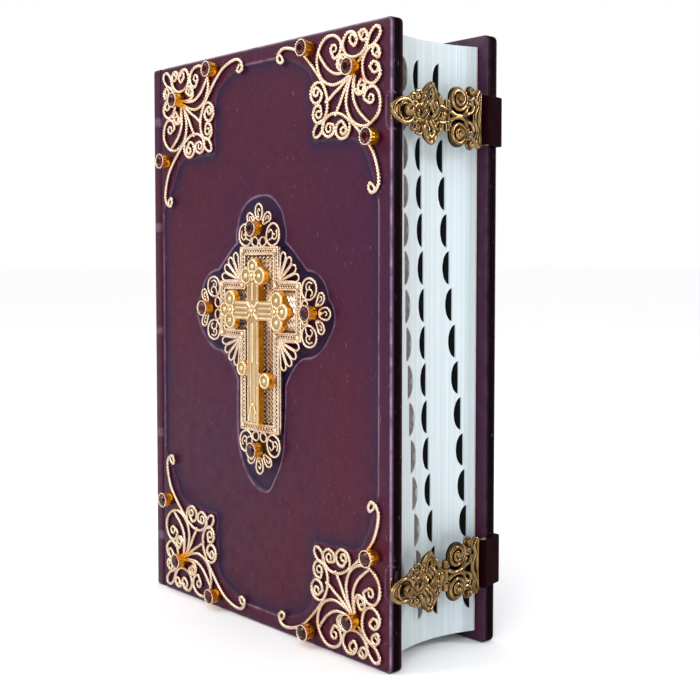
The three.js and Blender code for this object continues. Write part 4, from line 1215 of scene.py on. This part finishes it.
def cast_cross():
    """The cast three-bar cross: bars and lobes with a raised rim, melted together and given orange sides."""
    back = PLATE_FACE - GAP
    face = back - CAST_CROSS_THICKNESS + 0.5
    form = Form()

    def slab(outline):
        prism(form, np.asarray(outline) + [MIDDLE_X, 0], face, back)

    def disc(x, z, radius):
        slab(arc((x, z), radius, 0, 360, 41)[:-1])

    def rim(points, radius=0.42, closed=False, lift=0.0):
        flat = spline(np.asarray(points, float), 0.3, closed) + [MIDDLE_X, 0]
        tube(form, on_front(flat, face - lift), radius, closed=closed)

    arms = CROSS_Z
    slab([(-4, 88), (4, 88), (4, 154), (-4, 154)])
    slab([(-17, arms - 4), (17, arms - 4), (17, arms + 4), (-17, arms + 4)])
    slab([(-8.2, 110.2), (8.2, 105.8), (8.2, 109.8), (-8.2, 114.2)])
    lobes = [(0, 156.2, 3.5), (-4.6, 152.2, 3.9), (4.6, 152.2, 3.9)]
    for side in (1, -1):
        lobes += [(side * 20.2, arms, 3.6), (side * 16.4, arms + 4.6, 3.9), (side * 16.4, arms - 4.6, 3.9)]
        lobes += [(side * 8, 110 - side * 2.2, 3.5)]
    for x, z, radius in lobes:
        disc(x, z, radius)
        rim(arc((x, z), radius - 0.75, 0, 360, 30)[:-1], 0.4, True, 0.1)
        ball(form, (MIDDLE_X + x, face, z), 1.1, (1, 0.7, 1))
    for side in (1, -1):
        for x, low, high in ((3.2, 89, 105), (3.2, 115, 132), (3.2, 142, 148)):
            rim([(side * x, low), (side * x, high)], 0.4)
        rim([(side * 1.2, 89), (side * 1.2, 131)], 0.32)
        for rise, radius in ((3.1, 0.38), (-3.1, 0.38), (1.1, 0.3), (-1.1, 0.3)):
            rim([(side * 4.4, arms + rise), (side * 12.6, arms + rise)], radius)
    rim([(-3.2, 89), (3.2, 89)], 0.4)
    rim([(-2.6, 90), (-2.2, 93), (0, 97.5), (2.2, 93), (2.6, 90)], 0.45, lift=0.15)
    for low, high in ((115, 132), (142, 149)):
        rim([(0, low), (0, high)], 0.5, lift=0.1)
    for angle in (45, 135, 225, 315):
        rim(turned([(2.4, 0), (5, 0)], (0, arms), angle), 0.8)
    for x, z in ((0, 152.4), (0, arms), (15.6, arms), (-15.6, arms)):
        for k in range(8):
            turn = math.pi * k / 4
            bead = (MIDDLE_X + x + 1.75 * math.cos(turn), face - 0.1, z + 1.75 * math.sin(turn))
            ball(form, bead, 0.75, (1, 0.8, 1))
        ball(form, (MIDDLE_X + x, face - 0.2, z), 1.0)
    mesh = cast(form, 0.2)
    # Darker on the sunken faces between the raised rims and down the sides: painted shade, with tarnish.
    paint(mesh, "recess", 0.5 * smooth(face - 0.3, face + 0.05, points_of(mesh)[:, 1]))
    cross = place("cast_cross", mesh, [CAST_GOLD, ORANGE_GOLD], "front_cover", "bezel_gold", ["raised_cross"])
    for polygon in cross.data.polygons:
        polygon.material_index = int(polygon.normal.y >= -0.35)


# ---- clasps ----
def on_side(points, x):
    """Flat (y, z) points of a clasp at a height x outside the fore-edge; z counts from the clasp's middle."""
    points = np.asarray(points, float)
    return np.column_stack([np.broadcast_to(x, len(points)), points])


def side_bar(form, points, x, radius, closed=False):
    line = spline(points, 0.35, closed)
    if np.ndim(x):
        x = np.interp(np.linspace(0, 1, len(line)), np.linspace(0, 1, len(x)), x)
    side_tube(form, line, x, radius, closed)


def side_tube(form, line, x, radius, closed=True):
    tube(form, on_side(line, x), radius, lift=(1, 0, 0), sides=10, closed=closed)


def side_slab(form, outline, low, high):
    prism(form, outline, low, high, axis=0)


def knuckle(form, pin, radius, z0, z1):
    """An upright barrel around a pin."""
    path = np.array([[pin[0], pin[1], z] for z in np.linspace(z0, z1, 8)])
    tube(form, path, radius, lift=(1, 0, 0), sides=16)


# The bars on each side of the volute plate: (y, z) points, heights above its foot, and radius.
VOLUTE_BARS = [
    ([(8.6, 10), (9.6, 7.6), (12.2, 7.4), (14.4, 9.8), (15.4, 11)], [1.1], 0.75),
    ([(9.2, 4.6), (8.6, 2.2), (6.4, 0.6), (2.4, 0.5), (-0.4, 1.9)], [1.2, 1.9, 1.5], 0.95),
    ([(6.6, 0.4), (9.4, -1.4), (12, -2.4), (13.4, -5)], [1.5], 0.8),
    ([(10.4, 5.6), (12.6, 5.2), (13.6, 3)], [1.0], 0.7),
]


def volute_plate():
    """The plate on the strap: two big scrolls, a leaf between them, and a wavy bar beside the strap."""
    form = Form()
    base = CLASP_BACK
    for side in (1, -1):
        centre = (4.5, side * 7.0)
        side_slab(form, arc(centre, 4.9, 0, 360, 41)[:-1], base, base + 1.0)
        share = np.linspace(0, 1, 64)
        line = spiral(centre, 4.75, 1.2, side * 20, -side * 660, 64)
        side_tube(form, line, base + 1.2 + 1.2 * share, 1.0 - 0.3 * share, False)
        ball(form, (base + 2.7, *centre), 1.3, (1.1, 1, 1))
        ball(form, (base + 2.0, 11.4, side * 10.3), 1.6, (0.95, 1, 1))
        side_bar(form, arc((11.4, side * 10.3), 1.9, 0, 360, 20)[:-1], base + 0.9, 0.5, True)
        for line, heights, radius in VOLUTE_BARS:
            side_bar(form, np.array(line) * [1, side], np.add(base, heights), radius)
        ball(form, (base + 1.5, 9.4, side * 4.4), 1.2)
    wave = [(16.4, -11.2), (14.6, -8.4), (15.6, -5), (13.9, -1.6)]
    side_bar(form, [*wave, *((y, -z) for y, z in reversed(wave))], base + 1.2, 1.1)
    side_slab(form, [(15.2, -11), (18.1, -11), (18.1, 11), (15.2, 11)], base, base + 0.9)
    leaf = [(0.8, -2.2), (6, -2.8), (15.4, -5.4), (15.4, 5.4), (6, 2.8), (0.8, 2.2)]
    side_slab(form, leaf, base, base + 0.6)
    side_bar(form, [(17.6, -10.6), (17.3, 0), (17.6, 10.6)], base + 1.0, 0.8)
    half = STRAP_HALF_HEIGHT
    for z0, z1 in ((half - 1.1, half), (-half, 1.1 - half)):
        side_slab(form, [(17, z0), (STRAP_PIN[1], z0), (STRAP_PIN[1], z1), (17, z1)], base, base + 1.5)
        knuckle(form, STRAP_PIN, 1.4, z0, z1)
    for z0, z1 in ((3.3, 5.9), (-5.9, -3.3)):
        side_slab(form, [(HOOK_PIN[1], z0), (3, z0), (3, z1), (HOOK_PIN[1], z1)], base, base + 1.2)
        knuckle(form, HOOK_PIN, 1.3, z0, z1)
    knuckle(form, STRAP_PIN, 0.65, -half, half)
    knuckle(form, HOOK_PIN, 0.65, -5.9, 5.9)
    return form


def looped_diamond(middle, across, up):
    """A closed strap that runs along the sides of a diamond, over and under itself, with a loop at each
    corner: its (y, z) points, and their rises."""
    inner = 0.36
    quarter = [(-0.9, inner, 0.0), (-inner, inner, 0.55), (inner, inner, -0.5), (0.82, inner, 0.0),
               (1.12, 0.72, 0.2), (1.06, 1.06, 0.3), (0.72, 1.12, 0.2)]
    points = []
    for _ in range(4):
        points += quarter
        quarter = [(q, -p, rise) for p, q, rise in quarter]
    line = spline(points, 0.05, True)
    p, q = line[:, 0] / 1.5, line[:, 1] / 1.5
    return np.column_stack([middle + across * (p - q), up * (p + q)]), line[:, 2]


def hook_plate():
    """The hinged end: an interlaced diamond, and a ball in a pear-shaped collar over the catch."""
    form = Form()
    base = CLASP_BACK
    middle = -11.2
    flat, weave = looped_diamond(middle, 6.2, 7.0)
    turn = np.roll(flat, -1, axis=0) - np.roll(flat, 1, axis=0)
    turn /= np.linalg.norm(turn, axis=1)[:, None]
    sideways = np.column_stack([-turn[:, 1], turn[:, 0]])
    for shift, rise, radius in ((-0.75, 1.45, 0.72), (0.75, 1.45, 0.72), (0, 1.1, 0.8)):
        strand = on_side(flat + shift * sideways, base + rise + weave)
        tube(form, strand, radius, lift=(1, 0, 0), closed=True)
    upper = [(-7.4, 0), (-4.4, 5.4), (-1.1, 10.4), (0, 11.1), (1.1, 10.4), (4.9, 5.4)]
    lower = [(6.6, 0), (4.9, -5.4), (1.1, -10.4), (0, -11.1), (-1.1, -10.4), (-4.4, -5.4)]
    rim = spline(np.array([*upper, *lower]) + [middle, 0], 0.35, True)
    wave = 0.45 * np.cos(np.linspace(0, 16 * math.pi, len(rim), endpoint=False))
    side_tube(form, rim, base + 1.3 + wave, 1.15)
    around = np.linspace(0, 2 * math.pi, 90, endpoint=False)
    ring = np.column_stack([middle + 4.0 * np.cos(around), 5.4 * np.sin(around)])
    side_tube(form, ring, base + 1.35 - 0.5 * np.cos(4 * around), 0.8)
    side_slab(form, [(middle - 5.6, 0), (middle, -8.4), (middle + 5.8, -2), (middle + 5.8, 2), (middle, 8.4)],
              base, base + 0.55)
    for side in (1, -1):
        ball(form, (base + 1.5, -18.4, side * 5.8), 1.5, (0.9, 1, 1))
        side_bar(form, spiral((-20.6, side * 5.6), 2.2, 0.7, 180, side * 420, 26), base + 1.4, 0.7)
        side_bar(form, [(-15.8, side * 3.4), (-17.6, side * 2.6), (-19.8, side * 4)], base + 1.5, 0.8)
        side_bar(form, [(-15.4, side * 6.0), (-16.6, side * 8.2), (-19, side * 7.8)], base + 1.2, 0.7)
    turn = np.linspace(0, 2 * math.pi, 60, endpoint=False)
    pear = np.column_stack([-26.0 + 5.4 * np.cos(turn), 4.7 * np.sin(turn) * (1 + 0.2 * np.cos(turn))])
    side_slab(form, pear, base, base + 1.7)
    side_tube(form, pear * [1, 0.92] + [0.1, 0], base + 1.5, 1.0)
    oval = np.column_stack([-24.4 + 3.6 * np.cos(turn), 3.9 * np.sin(turn)])
    side_tube(form, oval, base + 1.7, 0.55)
    ball(form, (base + 3.0, -24.4, 0), 2.6, (1, 1, 1), 14, 20)
    side_slab(form, [(-5.4, -2.6), (HOOK_PIN[1], -2.6), (HOOK_PIN[1], 2.6), (-5.4, 2.6)], base, base + 1.2)
    knuckle(form, HOOK_PIN, 1.3, -2.6, 2.6)
    return form


def strap():
    """The leather strap: a band over the back cover's edge that loops round the plate's pin."""
    half = STRAP_HALF_HEIGHT
    outside = HALF_THICKNESS + 0.35
    side = BOARD_RIGHT + 0.35
    far = side - STRAP_ON_BACK
    thick = 1.15
    inner = [(side, 21.6), (side, outside - 0.4), (side - 0.4, outside), (far, outside)]
    end = [(far, outside + 0.5), (far + 0.6, outside + thick)]
    corner = arc((side - 0.2, outside - 0.2), thick + 0.2, 90, 0, 8)
    outline = np.vstack([inner, end, corner, arc(STRAP_PIN, 1.68, 20, -200, 14)])
    upper = [(half - 0.5, 0), (half - 0.15, 0.08), (half, 0.25)]
    lower = [(-z, shrink) for z, shrink in reversed(upper)]
    rings = []
    for z, shrink in [*lower, *upper]:
        shrunk = outline.copy()
        shrunk[:, 0] -= shrink * np.sign(outline[:, 0] - side - 0.6) * (outline[:, 0] > side - 1)
        shrunk[:, 1] -= shrink * (outline[:, 1] > outside + 0.1)
        rings.append(np.column_stack([shrunk, np.full(len(outline), z)]))
    form = Form()
    form.add(np.vstack(rings), wrapped_faces(len(rings), len(outline), capped=True))
    return form


def drooping():
    """The shear that lets the lower clasp hang a little towards its tip, from beside its strap."""
    slope, pivot = 0.06, 17
    fall = slope * (pivot + ORIGIN[1]) / 1000
    return Matrix(((1, 0, 0, 0), (0, 1, 0, 0), (0, slope, 1, -fall), (0, 0, 0, 1)))


def clasps():
    for part, body, form in (("volute_plate", "clasp", volute_plate()), ("hook_plate", "hook", hook_plate())):
        mesh = cast(form, 0.19)
        facing = np.array([vertex.normal.x for vertex in mesh.vertices])
        # Darker on the casting's low faces between its raised bars: painted shade, with tarnish.
        hollow = 1 - smooth(CLASP_BACK + 0.7, CLASP_BACK + 1.9, points_of(mesh)[:, 0])
        paint(mesh, "recess", hollow * smooth(-0.8, -0.3, facing))
        for level, z in CLASP_LEVELS.items():
            copy = mesh.copy()
            if level == "lower":
                copy.transform(drooping())
            copy.transform(Matrix.Translation((0, 0, z / 1000)))
            place(f"{level}_{part}_casting", copy, [BRONZE], f"{level}_{body}", "clasp_bronze",
                  [f"{level}_clasp_{part}"])
    catch = (BOARD_RIGHT - 0.8, COVER_FACE + 0.8)
    for level, z in CLASP_LEVELS.items():
        mesh = strap().mesh(z)
        paint(mesh, "antique_and_shade", np.full(len(mesh.vertices), 0.25))
        paint(mesh, "wear_and_highlight", np.full(len(mesh.vertices), 0.05))
        place(f"{level}_strap_leather", mesh, [STRAP_LEATHER], "back_cover", "strap_leather",
              [f"{level}_clasp_strap"], False)
        pin = Form()
        knuckle(pin, catch, 0.4, z - 3.5, z + 2.5)
        place(f"{level}_catch_pin_wire", pin.mesh(), [BRONZE], "front_cover", "clasp_bronze",
              [f"{level}_catch_pin"])


# ---- stage ----
def floor():
    """A plain white floor, far wider than the book."""
    corners = [(x * FLOOR_REACH, y * FLOOR_REACH, 0) for x, y in ((-1, -1), (1, -1), (1, 1), (-1, 1))]
    mesh = bpy.data.meshes.new("floor")
    mesh.from_pydata(corners, [], [(0, 1, 2, 3)])
    look = Look("floor_white", Roughness=0.9, Specular_IOR_Level=0.0)
    look.set("Base Color", look.mix(look.noise(4, 2.0), srgb(250, 250, 251), srgb(246, 246, 248)))
    mesh.materials.append(look.material)
    added("floor", mesh)


def studio_world():
    """A bright world ahead of the camera and a dim one behind it."""
    world = bpy.data.worlds.new("studio")
    bpy.context.scene.world = world
    world.use_nodes = True
    tree = world.node_tree
    background = tree.nodes["Background"]
    background.inputs["Strength"].default_value = 1.0
    towards = tree.nodes.new("ShaderNodeVectorMath")
    towards.operation = "DOT_PRODUCT"
    towards.inputs[1].default_value = (-math.sin(CAMERA_TURN), math.cos(CAMERA_TURN), 0)
    tree.links.new(tree.nodes.new("ShaderNodeTexCoord").outputs["Generated"], towards.inputs[0])
    ramp = tree.nodes.new("ShaderNodeValToRGB")
    stops = ramp.color_ramp.elements
    for spot, grey in ((0, 0.16), (0.84, 0.75), (0.9, 1.0)):
        stop = stops.new(spot) if spot else stops[0]
        stop.color = (grey, grey, grey * 1.01, 1)
    tree.links.new(towards.outputs["Value"], ramp.inputs["Fac"])
    tree.links.new(ramp.outputs["Color"], background.inputs["Color"])


def aimed(direction):
    """The rotation that points a lamp along a direction."""
    return Vector(direction).to_track_quat("-Z", "Y").to_euler()


def softbox(name, where, size, power, colour=(1, 1, 1)):
    light = bpy.data.lights.new(name, "AREA")
    light.shape = "RECTANGLE"
    light.size, light.size_y = size
    light.energy = power
    light.color = colour
    lamp = added(name, light)
    lamp.location = where
    lamp.rotation_euler = aimed(Vector((0, 0, 0.12)) - Vector(where))


def lamps():
    sky = bpy.data.lights.new("overcast", "SUN")
    sky.energy = 2.4
    sky.angle = math.radians(110)
    added("overcast", sky).rotation_euler = aimed((0.12, 0.3, -0.95))
    softbox("key", (-0.5, -0.9, 0.75), (0.5, 0.5), 4.5)
    softbox("fill", (0.6, -0.8, 0.45), (0.3, 0.8), 4, (0.92, 0.97, 1))
    softbox("glint", (0.9, 0.75, 0.55), (0.08, 0.3), 6)
    softbox("low_glint", (1.0, 0.2, 0.1), (0.05, 0.1), 0.8)


def camera():
    data = bpy.data.cameras.new("camera")
    data.sensor_width = 36
    data.lens = 57.78
    data.shift_y = -0.05
    turn, dip = CAMERA_TURN, CAMERA_DIP
    ahead = Vector((-math.sin(turn) * math.cos(dip), math.cos(turn) * math.cos(dip), -math.sin(dip)))
    right = Vector((math.cos(turn), math.sin(turn), 0))
    axes = Matrix((right, right.cross(ahead), -ahead)).transposed()
    eye = added("camera", data)
    eye.matrix_world = Matrix.Translation(CAMERA_AT) @ axes.to_4x4()
    bpy.context.scene.camera = eye


camera()
covers()
spine()
joints()
spine_inside()
page_block()
tab_papers()
corner_filigree()
cross_filigree()
cast_cross()
set_stones()
clasps()
floor()
studio_world()
lamps()
bpy.context.scene.view_settings.view_transform = "Standard"
